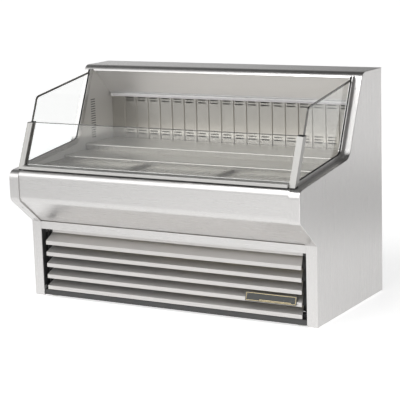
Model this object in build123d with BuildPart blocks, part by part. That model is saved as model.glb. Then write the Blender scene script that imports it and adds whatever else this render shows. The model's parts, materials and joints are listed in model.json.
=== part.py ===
from build123d import *
from math import cos, hypot, radians, sin
import os

# Refrigerated open-front deli case, 5 ft class.
# Frame: X along the case (+X is the customer's right), -Y towards the customer, +Z up.
# The origin is on the floor, under the middle of the case. Millimetres.

# ---------------------------------------------------------------- driving sizes
LENGTH = 1530.0
DEPTH = 900.0
HEIGHT = 1085.0
END_THICKNESS = 53.0  # insulated end panel
OVERHANG = 165.0  # belly in front of the leg
SKIRT_Z = 6.0  # bottom edge of the end panels
KNEE_Z = 375.0  # where the leg turns into the belly
BELLY_LOW_Z = 508.0
BELLY_TOP_Z = 647.0
SHOULDER_Y = 72.0  # where the glass ledge meets the upright
SHOULDER_Z = 710.0
LEAN = 0.432  # set-back per unit of height, uprights and glass
SHEET = 1.5  # stainless sheet
END_WALL = 3.0  # folded skin of an end panel
GAP = 0.5  # clearance between neighbouring sheets

HALF = LENGTH / 2
INNER = HALF - END_THICKNESS
SPAN = INNER - GAP  # half width of what stands between the ends
FRONT = -DEPTH / 2
REAR = DEPTH / 2
TOE_Y = FRONT + OVERHANG
TOP_FRONT_Y = SHOULDER_Y + LEAN * (HEIGHT - SHOULDER_Z)
BELLY_SLOPE = (BELLY_LOW_Z - KNEE_Z) / OVERHANG
LEDGE_SLOPE = (SHOULDER_Z - BELLY_TOP_Z) / (SHOULDER_Y - FRONT)

# levelling feet and base frame
FRAME_BOTTOM = 18.0
FRAME_HEIGHT = 40.0
FRAME_TOP = FRAME_BOTTOM + FRAME_HEIGHT
FRAME_FRONT = TOE_Y + 23.0
FRAME_REAR = REAR - 22.0
FRAME_WALL = 3.0
FRAME_FLANGE = 34.0
UPRIGHT_SETBACK = 38.0  # front uprights stand behind the louvre grille
JAMB = 2.0
JAMB_FRONT = TOE_Y + 3.0
JAMB_REAR = FRAME_FRONT + UPRIGHT_SETBACK + 1.0
KICK_FRONT = TOE_Y + 5.0
KICK_SHEET = 3.0
KICK_TOP = 35.0
KICK_BOTTOM = 10.0
FOOT_X = 670.0
FOOT_INSET = 20.0
FOOT_PAD_RADIUS = 22.0
STUD_RADIUS = 6.0
STUD_HOLE_RADIUS = 6.4

# toe rail and louvre grille
RAIL_BOTTOM = 339.0
RAIL_TOP = 378.0
RAIL_REAR = TOE_Y + 24.0
BLADES = 5
BLADE_PITCH = 55.75
TOP_LIP_Z = 280.0
LIP_HEIGHT = 18.0
BLADE_DEPTH = 49.0
BLADE_RISE = 34.0
TOP_BLADE_RISE = 37.0
TOP_BLADE_DEPTH = 42.0
BLADE_HALF = 688.0
BLADE_MITRE = 15.0
BLADE_SHEET = 1.2
GRILLE_PIN_Y = TOE_Y + 43.0
GRILLE_PIN_Z = 324.0
PIN_RADIUS = 4.0
PIN_CLEARANCE = 0.4
STILE_X = 699.0
STILE_BOTTOM = 62.0
STILE_TOP = 334.0

# tank, deck and interior
TANK_FOAM = 43.0
TANK_BOTTOM = 366.0
TANK_FLOOR_FRONT = 422.0
TANK_FLOOR_DRAIN = 408.0
WALL_TOP = 1056.0
REAR_FOAM = 30.0
REAR_SKIN_Y = REAR - 3.0  # outside of the rear panel, behind the end panels' edges
DUCT_Y = 388.0  # visible face of the rear duct panel
LINER_REAR = REAR_SKIN_Y - SHEET - REAR_FOAM
PIPE_HOLE_RADIUS = 12.0
RETURN_REAR = -336.0  # rear edge of the return air grille
DECK_Z = 636.0
PAN_HEIGHT = 17.0
PAN_REAR = -66.0
MIDDLE_STEP_Z = 667.0
MIDDLE_STEP_REAR = 128.0
REAR_STEP_Z = 696.0
SHELF_CLEAR = 1.0

# glass
GLASS = 6.0
GLASS_RUN = GLASS * hypot(1, LEAN)  # thickness of leaning glass, measured along Y
POST_FOOT_Z = 654.0
POST_TOP_Z = 866.0
POST_FOOT_LIFT = 5.0
POST_FOOT_Y = -421.0
POST_DEPTH = 32.0
POST_INNER = 700.0
POST_OUTER = 730.0
FRONT_GLASS_SETBACK = 12.4  # behind the face of the post
SIDE_GLASS_SETBACK = 22.0
GLASS_GROOVE = 1.0  # play round glass in its groove
SIDE_GLASS_X = 717.0
CHANNEL_X = (INNER + GAP, INNER + 16.5)
CHANNEL_HEIGHT = 21.0
RAIL_FRONT_Y = -433.0
RAIL_REAR_Y = -388.0

# canopy
COVER_FLANGE = 12.0
ROLL_END_Z = 1058.0
SOFFIT_START = (243.0, 1054.0)
SOFFIT_END = (365.0, 937.0)

# air side
EVAPORATOR_HALF = 560.0
EVAPORATOR_Y = (110.0, 330.0)
EVAPORATOR_Z = (432.0, 560.0)
EVAPORATOR_FAN_X = 300.0
EVAPORATOR_FAN_Z = 520.0
EVAPORATOR_SHROUD_Y = 20.0
EVAPORATOR_FAN_RADIUS = 85.0
CONDENSER_X = (-640.0, -130.0)
CONDENSER_Y = (-215.0, -175.0)
CONDENSER_Z = (64.0, 340.0)
CONDENSER_FAN_RADIUS = 115.0
FAN_TIP_CLEARANCE = 6.0
TUBE_RADIUS = 4.8
SHAFT_RADIUS = 4.0
BORE_RADIUS = 4.4

EVAPORATOR_ROWS = 4
EVAPORATOR_COLUMNS = 3
CONDENSER_ROWS = 8
EVAPORATOR_COLUMN = (EVAPORATOR_Y[1] - EVAPORATOR_Y[0]) / EVAPORATOR_COLUMNS
LIQUID_Y = EVAPORATOR_Y[0] + EVAPORATOR_COLUMN / 2
SUCTION_Y = EVAPORATOR_Y[1] - EVAPORATOR_COLUMN / 2
PIPE_HOLES = ((650.0, LIQUID_Y), (670.0, SUCTION_Y))

# machine compartment
UNIT_BASE_SHEET = 2.0
UNIT_DECK_Z = FRAME_TOP + UNIT_BASE_SHEET
COMPRESSOR_XY = (240.0, -60.0)
COMPRESSOR_RADIUS = 92.0
RECEIVER_Y = LIQUID_Y
RECEIVER_Z = 130.0
PIPE_RADIUS = 4.8
SERVICE_Y = 428.0
KNOB_XZ = (440.0, 255.0)
SWITCH_XZ = (540.0, 255.0)
SWITCH_PIVOT_Y = SERVICE_Y - 4.0
INLET_XZ = (620.0, 120.0)


# ---------------------------------------------------------------- outlines
def belly_z(y, inset):
    """Height at y of the slanted lower belly, moved inwards by inset."""
    return KNEE_Z + (TOE_Y - y) * BELLY_SLOPE + inset * hypot(1, BELLY_SLOPE)


def belly_y(z, inset):
    """Y at height z of the slanted lower belly, moved inwards by inset."""
    return TOE_Y - (z - KNEE_Z - inset * hypot(1, BELLY_SLOPE)) / BELLY_SLOPE


def ledge_z(y, inset):
    """Height at y of the glass ledge, moved inwards by inset."""
    return BELLY_TOP_Z + (y - FRONT) * LEDGE_SLOPE - inset * hypot(1, LEDGE_SLOPE)


def leaning_y(foot_y, z):
    """Y of a line that leans back with the front glass and passes foot_y at the post's foot."""
    return foot_y + LEAN * (z - POST_FOOT_Z)


def face_of(corners, rounds):
    """Flat face inside a closed outline with one radius for each corner."""
    with BuildSketch() as flat:
        with BuildLine():
            FilletPolyline(*corners, radius=rounds, close=True)
        make_face()
    return flat.sketch


def grown(face, amount):
    """The same face, offset outwards, or inwards for a negative amount."""
    with BuildSketch() as flat:
        add(face)
        offset(amount=amount, mode=Mode.REPLACE)
    return flat.sketch


def folded(corners, rounds, side=Side.RIGHT, thickness=SHEET):
    """Cross-section of a folded sheet, whose thickness lies on one side of the path."""
    with BuildSketch() as flat:
        with BuildLine():
            FilletPolyline(*corners, radius=rounds)
            offset(amount=thickness, side=side)
        make_face()
    return flat.sketch


def slab(front, rear, bottom, top):
    """Side view of a slab that leans with the glass; front and rear are at the post's foot."""
    corners = (
        (leaning_y(front, bottom), bottom),
        (leaning_y(rear, bottom), bottom),
        (leaning_y(rear, top), top),
        (leaning_y(front, top), top),
    )
    return face_of(corners, [0] * 4)


END_OUTLINE = face_of(
    (
        (TOE_Y, SKIRT_Z),
        (TOE_Y, KNEE_Z),
        (FRONT, BELLY_LOW_Z),
        (FRONT, BELLY_TOP_Z),
        (SHOULDER_Y, SHOULDER_Z),
        (TOP_FRONT_Y, HEIGHT),
        (REAR, HEIGHT),
        (REAR, SKIRT_Z),
    ),
    (0, 0, 30, 40, 60, 45, 0, 0),
)
END_POCKET = grown(END_OUTLINE, -END_WALL)
END_LINING = grown(END_OUTLINE, -END_WALL - GAP / 2)

# side glass: its front edge leans with the post, its top edge climbs to the upright
GLASS_BEND = (-259.0, 983.0)
GLASS_TOP_SLOPE = 0.155
GLASS_BEHIND = 300.0
GLASS_BOTTOM = 640.0
GLASS_SWEEP = face_of(
    (
        (GLASS_BEND[0] - LEAN * (GLASS_BEND[1] - GLASS_BOTTOM), GLASS_BOTTOM),
        GLASS_BEND,
        (GLASS_BEHIND, GLASS_BEND[1] + GLASS_TOP_SLOPE * (GLASS_BEHIND - GLASS_BEND[0])),
        (GLASS_BEHIND, GLASS_BOTTOM),
    ),
    (0, 38, 0, 0),
)
CHANNEL_ZONE = face_of(
    (
        (leaning_y(POST_FOOT_Y + POST_DEPTH + GAP, GLASS_BOTTOM), GLASS_BOTTOM),
        (leaning_y(POST_FOOT_Y + POST_DEPTH + GAP, HEIGHT), HEIGHT - 60),
        (GLASS_BEHIND, HEIGHT - 12),
        (GLASS_BEHIND, GLASS_BOTTOM),
    ),
    (0, 0, 0, 0),
)


def ledge_band(inner, outer):
    """Band along ledge and upright, between two distances from the end panel's edge."""
    with BuildSketch() as flat:
        add(grown(END_OUTLINE, outer))
        add(grown(END_OUTLINE, inner) if inner else END_OUTLINE, mode=Mode.SUBTRACT)
        add(CHANNEL_ZONE, mode=Mode.INTERSECT)
    return flat.sketch


# ---------------------------------------------------------------- fasteners
BELLY_NORMAL = (0.0, -BELLY_SLOPE, -1.0)
UPRIGHT_NORMAL = (0.0, -1.0, LEAN)


def screw_places():
    """Plane of each casing screw: origin under the head, normal out of the sheet."""
    places = []
    for side in (-1, 1):
        middle = side * (INNER + END_THICKNESS / 2)
        for y in (-304.0, -392.0):
            places.append(Plane((middle, y, belly_z(y, 0)), x_dir=(1, 0, 0), z_dir=BELLY_NORMAL))
        for z in (800.0, 1010.0):
            y = SHOULDER_Y + LEAN * (z - SHOULDER_Z)
            places.append(Plane((middle, y, z), x_dir=(1, 0, 0), z_dir=UPRIGHT_NORMAL))
        for z in (420.0, 640.0, 860.0, 1030.0):
            places.append(Plane((side * 696.0, REAR_SKIN_Y, z), x_dir=(1, 0, 0), z_dir=(0, 1, 0)))
        for z in (80.0, 210.0, 340.0):
            place = (side * 690.0, SERVICE_Y + SHEET, z)
            places.append(Plane(place, x_dir=(1, 0, 0), z_dir=(0, 1, 0)))
    return places


SCREW_PLACES = screw_places()
SCREW_HEAD_RADIUS = 4.0
SCREW_HEAD = 1.8
SCREW_RADIUS = 1.8
SCREW_LENGTH = 11.0


def drill_screw_holes():
    """Clearance holes for every casing screw that meets the part being built."""
    for place in SCREW_PLACES:
        with BuildSketch(place) as hole:
            Circle(SCREW_RADIUS + 0.1)
        extrude(hole.sketch, amount=-SCREW_LENGTH - 1, mode=Mode.SUBTRACT)


with BuildPart() as casing_screws:
    for place in SCREW_PLACES:
        with BuildSketch(place):
            Circle(SCREW_HEAD_RADIUS)
        extrude(amount=SCREW_HEAD, taper=25)
        with BuildSketch(place):
            Circle(SCREW_RADIUS)
        extrude(amount=-SCREW_LENGTH)

# ---------------------------------------------------------------- base frame and feet
FOOT_PLACES = {
    "foot_front_left": (-FOOT_X, FRAME_FRONT + FOOT_INSET),
    "foot_front_right": (FOOT_X, FRAME_FRONT + FOOT_INSET),
    "foot_rear_left": (-FOOT_X, FRAME_REAR - FOOT_INSET),
    "foot_rear_right": (FOOT_X, FRAME_REAR - FOOT_INSET),
}
FRAME_DEPTH = FRAME_REAR - FRAME_FRONT
FRAME_MIDDLE = (FRAME_REAR + FRAME_FRONT) / 2

with BuildPart() as base_frame:
    with BuildSketch(Plane.XY.offset(FRAME_BOTTOM)):
        with Locations((0, FRAME_MIDDLE)):
            Rectangle(2 * SPAN, FRAME_DEPTH)
            Rectangle(2 * (SPAN - FRAME_FLANGE), FRAME_DEPTH - 2 * FRAME_FLANGE, mode=Mode.SUBTRACT)
    extrude(amount=FRAME_HEIGHT)
    with BuildSketch(Plane.XY.offset(FRAME_BOTTOM + FRAME_WALL)):
        with Locations((0, FRAME_MIDDLE)):
            Rectangle(2 * (SPAN - FRAME_WALL), FRAME_DEPTH - 2 * FRAME_WALL)
    extrude(amount=FRAME_HEIGHT - 2 * FRAME_WALL, mode=Mode.SUBTRACT)
    with BuildSketch(Plane.XY.offset(FRAME_TOP - FRAME_WALL)):
        with Locations((0, FRAME_MIDDLE)):
            Rectangle(FRAME_FLANGE, FRAME_DEPTH)
    extrude(amount=FRAME_WALL)
    with BuildSketch(Plane.XY.offset(FRAME_TOP)):
        for side in (-1, 1):
            for y, inward in ((FRAME_FRONT + UPRIGHT_SETBACK, 1), (FRAME_REAR, -1)):
                with Locations((side * (SPAN - 20), y + inward * 1.5)):
                    Rectangle(40, 3)
                with Locations((side * (SPAN - 1.5), y + inward * 20)):
                    Rectangle(3, 40)
    extrude(amount=TANK_BOTTOM - FRAME_TOP)
    # jambs that close the recess beside the grille
    with BuildSketch(Plane.XY.offset(FRAME_TOP - FRAME_WALL)):
        for side in (-1, 1):
            with Locations((side * (SPAN - JAMB / 2), (JAMB_FRONT + JAMB_REAR) / 2)):
                Rectangle(JAMB, JAMB_REAR - JAMB_FRONT)
    extrude(amount=RAIL_BOTTOM - 0.5 - FRAME_TOP + FRAME_WALL)
    # kick strip under the grille, folded back to the front rail
    with BuildSketch(Plane.XY.offset(KICK_BOTTOM)):
        with Locations((0, KICK_FRONT + KICK_SHEET / 2)):
            Rectangle(2 * SPAN, KICK_SHEET)
    extrude(amount=KICK_TOP - KICK_BOTTOM)
    with BuildSketch(Plane.XY.offset(KICK_TOP - KICK_SHEET)):
        with Locations((0, (KICK_FRONT + FRAME_FRONT + 1) / 2)):
            Rectangle(2 * SPAN, FRAME_FRONT + 1 - KICK_FRONT)
    extrude(amount=KICK_SHEET)
    with Locations(*[(x, y, FRAME_BOTTOM + FRAME_HEIGHT / 2) for x, y in FOOT_PLACES.values()]):
        Cylinder(STUD_HOLE_RADIUS, FRAME_HEIGHT, mode=Mode.SUBTRACT)
    drill_screw_holes()


def levelling_foot(x, y):
    """Threaded stud on a swaged pad, with its hexagon nut."""
    with BuildPart(Plane.XY) as foot:
        with BuildSketch(Plane.XY):
            with Locations((x, y)):
                Circle(FOOT_PAD_RADIUS)
        extrude(amount=6)
        with BuildSketch(Plane.XY.offset(6)):
            with Locations((x, y)):
                Circle(FOOT_PAD_RADIUS - 4)
        extrude(amount=4, taper=50)
        with BuildSketch(Plane.XY.offset(10)):
            with Locations((x, y)):
                RegularPolygon(10, 6)
        extrude(amount=6)
        with BuildSketch(Plane.XY.offset(16)):
            with Locations((x, y)):
                Circle(STUD_RADIUS)
        extrude(amount=36)
        chamfer(foot.edges().group_by(Axis.Z)[-1], 1)
        fillet(foot.edges().group_by(Axis.Z)[0], 1.5)
    return foot


feet = {name: levelling_foot(x, y) for name, (x, y) in FOOT_PLACES.items()}

# ---------------------------------------------------------------- top cover and end panels
COVER_ZONE = face_of(
    ((100, ROLL_END_Z), (REAR + 50, ROLL_END_Z), (REAR + 50, HEIGHT + 50), (100, HEIGHT + 50)),
    [0] * 4,
)

with BuildSketch() as cover_ring:
    add(END_OUTLINE)
    add(grown(END_OUTLINE, -COVER_FLANGE), mode=Mode.SUBTRACT)
    add(COVER_ZONE, mode=Mode.INTERSECT)

with BuildPart() as cover_blank:
    with BuildSketch(Plane.YZ.offset(-HALF)):
        add(cover_ring.sketch)
    extrude(amount=LENGTH)
    with BuildSketch(Plane.YZ.offset(-HALF + SHEET)):
        add(grown(END_OUTLINE, -SHEET))
    extrude(amount=LENGTH - 2 * SHEET, mode=Mode.SUBTRACT)

with BuildPart() as top_cover:
    add(cover_blank.part)
    for side in (0, -1):
        flange_edges = top_cover.faces().sort_by(Axis.X)[side].edges()
        outer_edges = flange_edges.filter_by(lambda edge: edge.center().Z > HEIGHT - COVER_FLANGE / 2)
        fillet(outer_edges, 2)

LEG_COVER_DEPTH = 16.0

with BuildPart() as leg_blank:
    with BuildSketch(Plane.XY.offset(SKIRT_Z)):
        with Locations((INNER + END_THICKNESS / 2, TOE_Y + LEG_COVER_DEPTH / 2)):
            Rectangle(END_THICKNESS, LEG_COVER_DEPTH)
        with Locations((INNER + END_THICKNESS / 2 - SHEET, TOE_Y + LEG_COVER_DEPTH / 2 + SHEET)):
            Rectangle(END_THICKNESS, LEG_COVER_DEPTH, mode=Mode.SUBTRACT)
    extrude(amount=KNEE_Z - SKIRT_Z)

with BuildPart() as leg_covers:
    add(leg_blank.part)
    outer_corner = leg_covers.edges().filter_by(Axis.Z).group_by(Axis.Y)[0].sort_by(Axis.X)[-1]
    fillet(outer_corner, 2)
    mirror(leg_covers.part, about=Plane.YZ)

with BuildPart() as right_end_shell:
    with BuildSketch(Plane.YZ.offset(INNER)):
        add(END_OUTLINE)
    extrude(amount=END_THICKNESS)
    fillet(right_end_shell.faces().sort_by(Axis.X)[-1].edges(), 2.5)
    with BuildSketch(Plane.YZ.offset(INNER)):
        add(END_POCKET)
    extrude(amount=END_THICKNESS - END_WALL, mode=Mode.SUBTRACT)
    add(cover_blank.part, mode=Mode.SUBTRACT)
    add(leg_blank.part, mode=Mode.SUBTRACT)
    drill_screw_holes()

with BuildPart() as left_end_shell:
    mirror(right_end_shell.part, about=Plane.YZ)

with BuildPart() as right_end_core:
    with BuildSketch(Plane.YZ.offset(INNER + SHEET)):
        add(END_LINING)
    extrude(amount=END_THICKNESS - END_WALL - SHEET)
    drill_screw_holes()

with BuildPart() as left_end_core:
    mirror(right_end_core.part, about=Plane.YZ)

# the lining has a column of narrow slots for shelf clips beside the rear step
SLOT_COLUMN_Y = 210.0
SLOT_LOW_Z = 720.0
SLOT_PITCH = 12.0
SLOTS = 17

with BuildPart() as right_end_liner:
    with BuildSketch(Plane.YZ.offset(INNER)):
        add(END_LINING)
        for row in range(SLOTS):
            with Locations((SLOT_COLUMN_Y, SLOT_LOW_Z + row * SLOT_PITCH)):
                SlotOverall(42, 4, mode=Mode.SUBTRACT)
    extrude(amount=SHEET)

with BuildPart() as left_end_liner:
    mirror(right_end_liner.part, about=Plane.YZ)

# ---------------------------------------------------------------- belly, rail and rear
PANEL_INSET = 5.0
PANEL_LEDGE = -0.5  # the middle ledge stands a little above the ends'

with BuildPart() as front_panel:
    belly_path = (
        (TOE_Y + 4, belly_z(TOE_Y + 4, PANEL_INSET)),
        (FRONT + PANEL_INSET, belly_z(FRONT + PANEL_INSET, PANEL_INSET)),
        (FRONT + PANEL_INSET, ledge_z(FRONT + PANEL_INSET, PANEL_LEDGE) + 3),
        (RAIL_REAR_Y + 2, ledge_z(RAIL_REAR_Y + 2, PANEL_LEDGE) + 3),
    )
    with BuildSketch(Plane.YZ.offset(-SPAN)):
        add(folded(belly_path, (35, 35)))
    extrude(amount=2 * SPAN)

HANGER_X = 707.0

with BuildPart() as toe_rail:
    rail_path = (
        (RAIL_REAR, RAIL_BOTTOM),
        (TOE_Y, RAIL_BOTTOM),
        (TOE_Y, RAIL_TOP - 1),
        (RAIL_REAR, RAIL_TOP - 1),
    )
    with BuildSketch(Plane.YZ.offset(-SPAN)):
        add(folded(rail_path, (2, 2)))
    extrude(amount=2 * SPAN)
    for side in (-1, 1):
        # hanger plate with the pin that carries the louvre grille
        with BuildSketch(Plane.YZ.offset(side * HANGER_X - 1.5)):
            with Locations((GRILLE_PIN_Y, (GRILLE_PIN_Z + RAIL_BOTTOM) / 2 + 4)):
                Rectangle(20, RAIL_BOTTOM - GRILLE_PIN_Z + 24)
            with Locations((TOE_Y + 30, RAIL_BOTTOM + 8)):
                Rectangle(30, 14)
        extrude(amount=3)
        with BuildSketch(Plane.YZ.offset(side * HANGER_X)):
            with Locations((GRILLE_PIN_Y, GRILLE_PIN_Z)):
                Circle(PIN_RADIUS)
        extrude(amount=-side * 15)

with BuildPart() as rear_panel:
    with BuildSketch(Plane.XZ.offset(-REAR_SKIN_Y)):
        with Locations((0, (TANK_BOTTOM + ROLL_END_Z) / 2)):
            Rectangle(2 * SPAN, ROLL_END_Z - TANK_BOTTOM - 2 * GAP)
    extrude(amount=SHEET)
    drill_screw_holes()

VENT_COLUMNS = 8
VENT_ROWS = 9
SERVICE_FLANGE_HALF = 655.0  # the flanges end beside the frame's uprights

with BuildPart() as service_panel:
    with BuildSketch(Plane.XZ.offset(-SERVICE_Y - SHEET)):
        with Locations((0, (TANK_BOTTOM + FRAME_TOP) / 2)):
            Rectangle(2 * SPAN - 8, TANK_BOTTOM - FRAME_TOP - 2)
    extrude(amount=SHEET)
    service_path = (
        (SERVICE_Y - 20, TANK_BOTTOM - 1),
        (SERVICE_Y + SHEET, TANK_BOTTOM - 1),
        (SERVICE_Y + SHEET, FRAME_TOP + 1),
        (SERVICE_Y - 4, FRAME_TOP + 1),
    )
    with BuildSketch(Plane.YZ.offset(-SERVICE_FLANGE_HALF)):
        add(folded(service_path, (2, 2)))
    extrude(amount=2 * SERVICE_FLANGE_HALF)
    with BuildSketch(Plane.XZ.offset(-SERVICE_Y - SHEET)):
        with Locations((-190, 205)):
            with GridLocations(100, 24, VENT_COLUMNS, VENT_ROWS):
                SlotOverall(80, 7)
        with Locations(KNOB_XZ):
            Circle(SHAFT_RADIUS)
        with Locations(SWITCH_XZ):
            Rectangle(13.4, 24)
        with Locations(INLET_XZ):
            Rectangle(28, 24)
    extrude(amount=SHEET, mode=Mode.SUBTRACT)
    drill_screw_holes()

# ---------------------------------------------------------------- insulated tank
LINER_FRONT = FRONT + PANEL_INSET + TANK_FOAM
LINER_BEND_Z = belly_z(LINER_FRONT, TANK_FOAM)
LINER_PATH = (
    (LINER_REAR, WALL_TOP),
    (LINER_REAR, TANK_FLOOR_FRONT + 10),
    (60, TANK_FLOOR_DRAIN),
    (TOE_Y + 30, TANK_FLOOR_FRONT),
    (LINER_FRONT, LINER_BEND_Z),
    (LINER_FRONT, ledge_z(LINER_FRONT, 8)),
)
LINER_ROUNDS = (20, 100, 30, 30)

with BuildPart() as tank_liner:
    with BuildSketch(Plane.YZ.offset(-SPAN)):
        add(folded(LINER_PATH, LINER_ROUNDS, Side.LEFT))
    extrude(amount=2 * SPAN)
    with Locations(*[(x, y, TANK_FLOOR_FRONT) for x, y in PIPE_HOLES]):
        Cylinder(PIPE_HOLE_RADIUS, 60, mode=Mode.SUBTRACT)

FOAM_INSET = PANEL_INSET + SHEET + GAP
FOAM_OUTER = face_of(
    (
        (RAIL_REAR + 1, TANK_BOTTOM),
        (RAIL_REAR + 1, RAIL_TOP + GAP),
        (belly_y(RAIL_TOP + GAP, FOAM_INSET), RAIL_TOP + GAP),
        (FRONT + FOAM_INSET, belly_z(FRONT + FOAM_INSET, FOAM_INSET)),
        (FRONT + FOAM_INSET, ledge_z(FRONT + FOAM_INSET, 3)),
        (LINER_FRONT, ledge_z(LINER_FRONT, 3)),
        (LINER_FRONT, HEIGHT + 100),
        (REAR_SKIN_Y - SHEET - GAP, HEIGHT + 100),
        (REAR_SKIN_Y - SHEET - GAP, TANK_BOTTOM),
    ),
    (0, 0, 0, 33, 30, 0, 0, 0, 0),
)
FOAM_CAVITY = face_of(
    LINER_PATH + ((LINER_FRONT, HEIGHT + 200), (LINER_REAR, HEIGHT + 200)),
    (0,) + LINER_ROUNDS + (0, 0, 0),
)

with BuildPart() as tank_core:
    with BuildSketch(Plane.YZ.offset(-SPAN)):
        add(FOAM_OUTER)
        add(grown(FOAM_CAVITY, SHEET + GAP / 2), mode=Mode.SUBTRACT)
        with Locations((LINER_FRONT + 40, WALL_TOP + 250)):
            Rectangle(2 * DEPTH, 500, mode=Mode.SUBTRACT)
    extrude(amount=2 * SPAN)
    with Locations(*[(x, y, TANK_BOTTOM) for x, y in PIPE_HOLES]):
        Cylinder(PIPE_HOLE_RADIUS, 160, mode=Mode.SUBTRACT)
    drill_screw_holes()

# ---------------------------------------------------------------- interior
RIB_PITCH = 71.0
RIBS = 19
RIB_WIDTH = 14.0
RIB_PROUD = 5.0

with BuildPart() as rear_duct_panel:
    with BuildSketch(Plane.XY.offset(570)):
        with Locations((0, DUCT_Y + SHEET / 2)):
            Rectangle(2 * SPAN, SHEET)
        for rib in range(RIBS):
            with Locations(((rib - (RIBS - 1) / 2) * RIB_PITCH, DUCT_Y - RIB_PROUD / 2 + SHEET / 2)):
                Trapezoid(RIB_WIDTH, RIB_PROUD + SHEET, 65, rotation=180)
    extrude(amount=430)
    with BuildSketch(Plane.XZ.offset(-DUCT_Y - SHEET)):
        with Locations((0, 905)):
            with GridLocations(RIB_PITCH, 14, RIBS - 1, 3):
                SlotOverall(46, 6)
        with Locations((0, 735)):
            with GridLocations(RIB_PITCH, 14, RIBS - 1, 3):
                SlotOverall(46, 6)
    extrude(amount=SHEET + 1, mode=Mode.SUBTRACT)

with BuildPart() as return_air_grille:
    return_path = (
        (RETURN_REAR, DECK_Z - 40),
        (RETURN_REAR, DECK_Z + 16),
        (LINER_FRONT + SHEET + 1, DECK_Z + 16),
        (LINER_FRONT + SHEET + 1, DECK_Z),
    )
    with BuildSketch(Plane.YZ.offset(-SPAN + 1)):
        add(folded(return_path, (4, 4), Side.LEFT))
    extrude(amount=2 * SPAN - 2)
    with BuildSketch(Plane.XY.offset(DECK_Z + 10)):
        with Locations(((0, (RETURN_REAR + LINER_FRONT) / 2))):
            with GridLocations(20, 36, 68, 1):
                SlotOverall(40, 10, rotation=90)
    extrude(amount=10, mode=Mode.SUBTRACT)

PANS = 3
PAN_PITCH = 2 * SPAN / PANS
PAN_WIDTH = PAN_PITCH - 4.0
PAN_DEPTH = PAN_REAR - RETURN_REAR - 4.0
PAN_Y = (PAN_REAR + RETURN_REAR) / 2
PAN_RIM = 8.0
PAN_WALLS = 2 * (PAN_RIM + SHEET)


def deck_pan(x):
    """Lift-out stainless deck pan with a rolled rim and rows of drain slots."""
    with BuildPart() as pan:
        with BuildSketch(Plane.XY.offset(DECK_Z)):
            with Locations((x, PAN_Y)):
                RectangleRounded(PAN_WIDTH - 2 * PAN_RIM, PAN_DEPTH - 2 * PAN_RIM, 10)
        extrude(amount=PAN_HEIGHT)
        with BuildSketch(Plane.XY.offset(DECK_Z + PAN_HEIGHT - 4)):
            with Locations((x, PAN_Y)):
                RectangleRounded(PAN_WIDTH, PAN_DEPTH, 12)
        extrude(amount=4)
        with BuildSketch(Plane.XY.offset(DECK_Z + SHEET)):
            with Locations((x, PAN_Y)):
                RectangleRounded(PAN_WIDTH - PAN_WALLS, PAN_DEPTH - PAN_WALLS, 8)
        extrude(amount=PAN_HEIGHT, mode=Mode.SUBTRACT)
        with BuildSketch(Plane.XY.offset(DECK_Z)):
            with Locations((x, PAN_Y)):
                with GridLocations(28, 60, 14, 3):
                    SlotOverall(36, 5, rotation=90)
        extrude(amount=SHEET, mode=Mode.SUBTRACT)
        top = pan.faces().sort_by(Axis.Z)[-1]
        fillet(top.outer_wire().edges(), 1.5)
    return pan


deck_pan_left = deck_pan(-PAN_PITCH)
deck_pan_centre = deck_pan(0)
deck_pan_right = deck_pan(PAN_PITCH)

STEP_HALF = SPAN - 3.0
LEG_Z = 598.0


def step_shelf(front, rear, top):
    """Folded step: a skirt at the front, a deck with a rolled nose, a skirt at the rear."""
    path = (
        (rear, LEG_Z),
        (rear, top),
        (front, top),
        (front, LEG_Z),
        (front + 14, LEG_Z),
    )
    with BuildPart() as step:
        with BuildSketch(Plane.YZ.offset(-STEP_HALF)):
            add(folded(path, (4, 6, 3), Side.LEFT))
        extrude(amount=2 * STEP_HALF)
        with BuildSketch(Plane.XZ.offset(-front - SHEET)):
            with Locations((0, top - 15)):
                with GridLocations(27, 9, 50, 2):
                    Circle(2.5)
        extrude(amount=SHEET, mode=Mode.SUBTRACT)
    return step


middle_step_shelf = step_shelf(PAN_REAR + SHELF_CLEAR, MIDDLE_STEP_REAR, MIDDLE_STEP_Z)
rear_step_shelf = step_shelf(MIDDLE_STEP_REAR + SHELF_CLEAR + 1, DUCT_Y - RIB_PROUD - 2, REAR_STEP_Z)

# ---------------------------------------------------------------- canopy
with BuildPart() as header_panel:
    header_path = (
        (TOP_FRONT_Y - 3, ROLL_END_Z - 1),
        (TOP_FRONT_Y + 4, SOFFIT_START[1]),
        SOFFIT_START,
        SOFFIT_END,
        (SOFFIT_END[0], SOFFIT_END[1] - 7),
        (SOFFIT_END[0] + 18, SOFFIT_END[1] - 7),
    )
    with BuildSketch(Plane.YZ.offset(-SPAN)):
        add(folded(header_path, (1, 3, 4, 2), Side.LEFT))
    extrude(amount=2 * SPAN)

LAMP_HALF = 690.0
LAMP_Y = (SOFFIT_END[0] - 4, SOFFIT_END[0] + 18)
LAMP_TOP = SOFFIT_END[1] - 7.5
LAMP_SPLIT = LAMP_TOP - 7
LAMP_BOTTOM = LAMP_TOP - 19

with BuildPart() as lamp_housing:
    with BuildSketch(Plane.YZ.offset(-LAMP_HALF)):
        with Locations(((LAMP_Y[0] + LAMP_Y[1]) / 2, (LAMP_TOP + LAMP_SPLIT) / 2)):
            Rectangle(LAMP_Y[1] - LAMP_Y[0], LAMP_TOP - LAMP_SPLIT)
    extrude(amount=2 * LAMP_HALF)
    for side in (-1, 1):
        with BuildSketch(Plane.YZ.offset(side * LAMP_HALF)):
            with Locations(((LAMP_Y[0] + LAMP_Y[1]) / 2, (LAMP_TOP + LAMP_BOTTOM) / 2)):
                RectangleRounded(LAMP_Y[1] - LAMP_Y[0], LAMP_TOP - LAMP_BOTTOM, 3)
        extrude(amount=side * 12)

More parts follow.
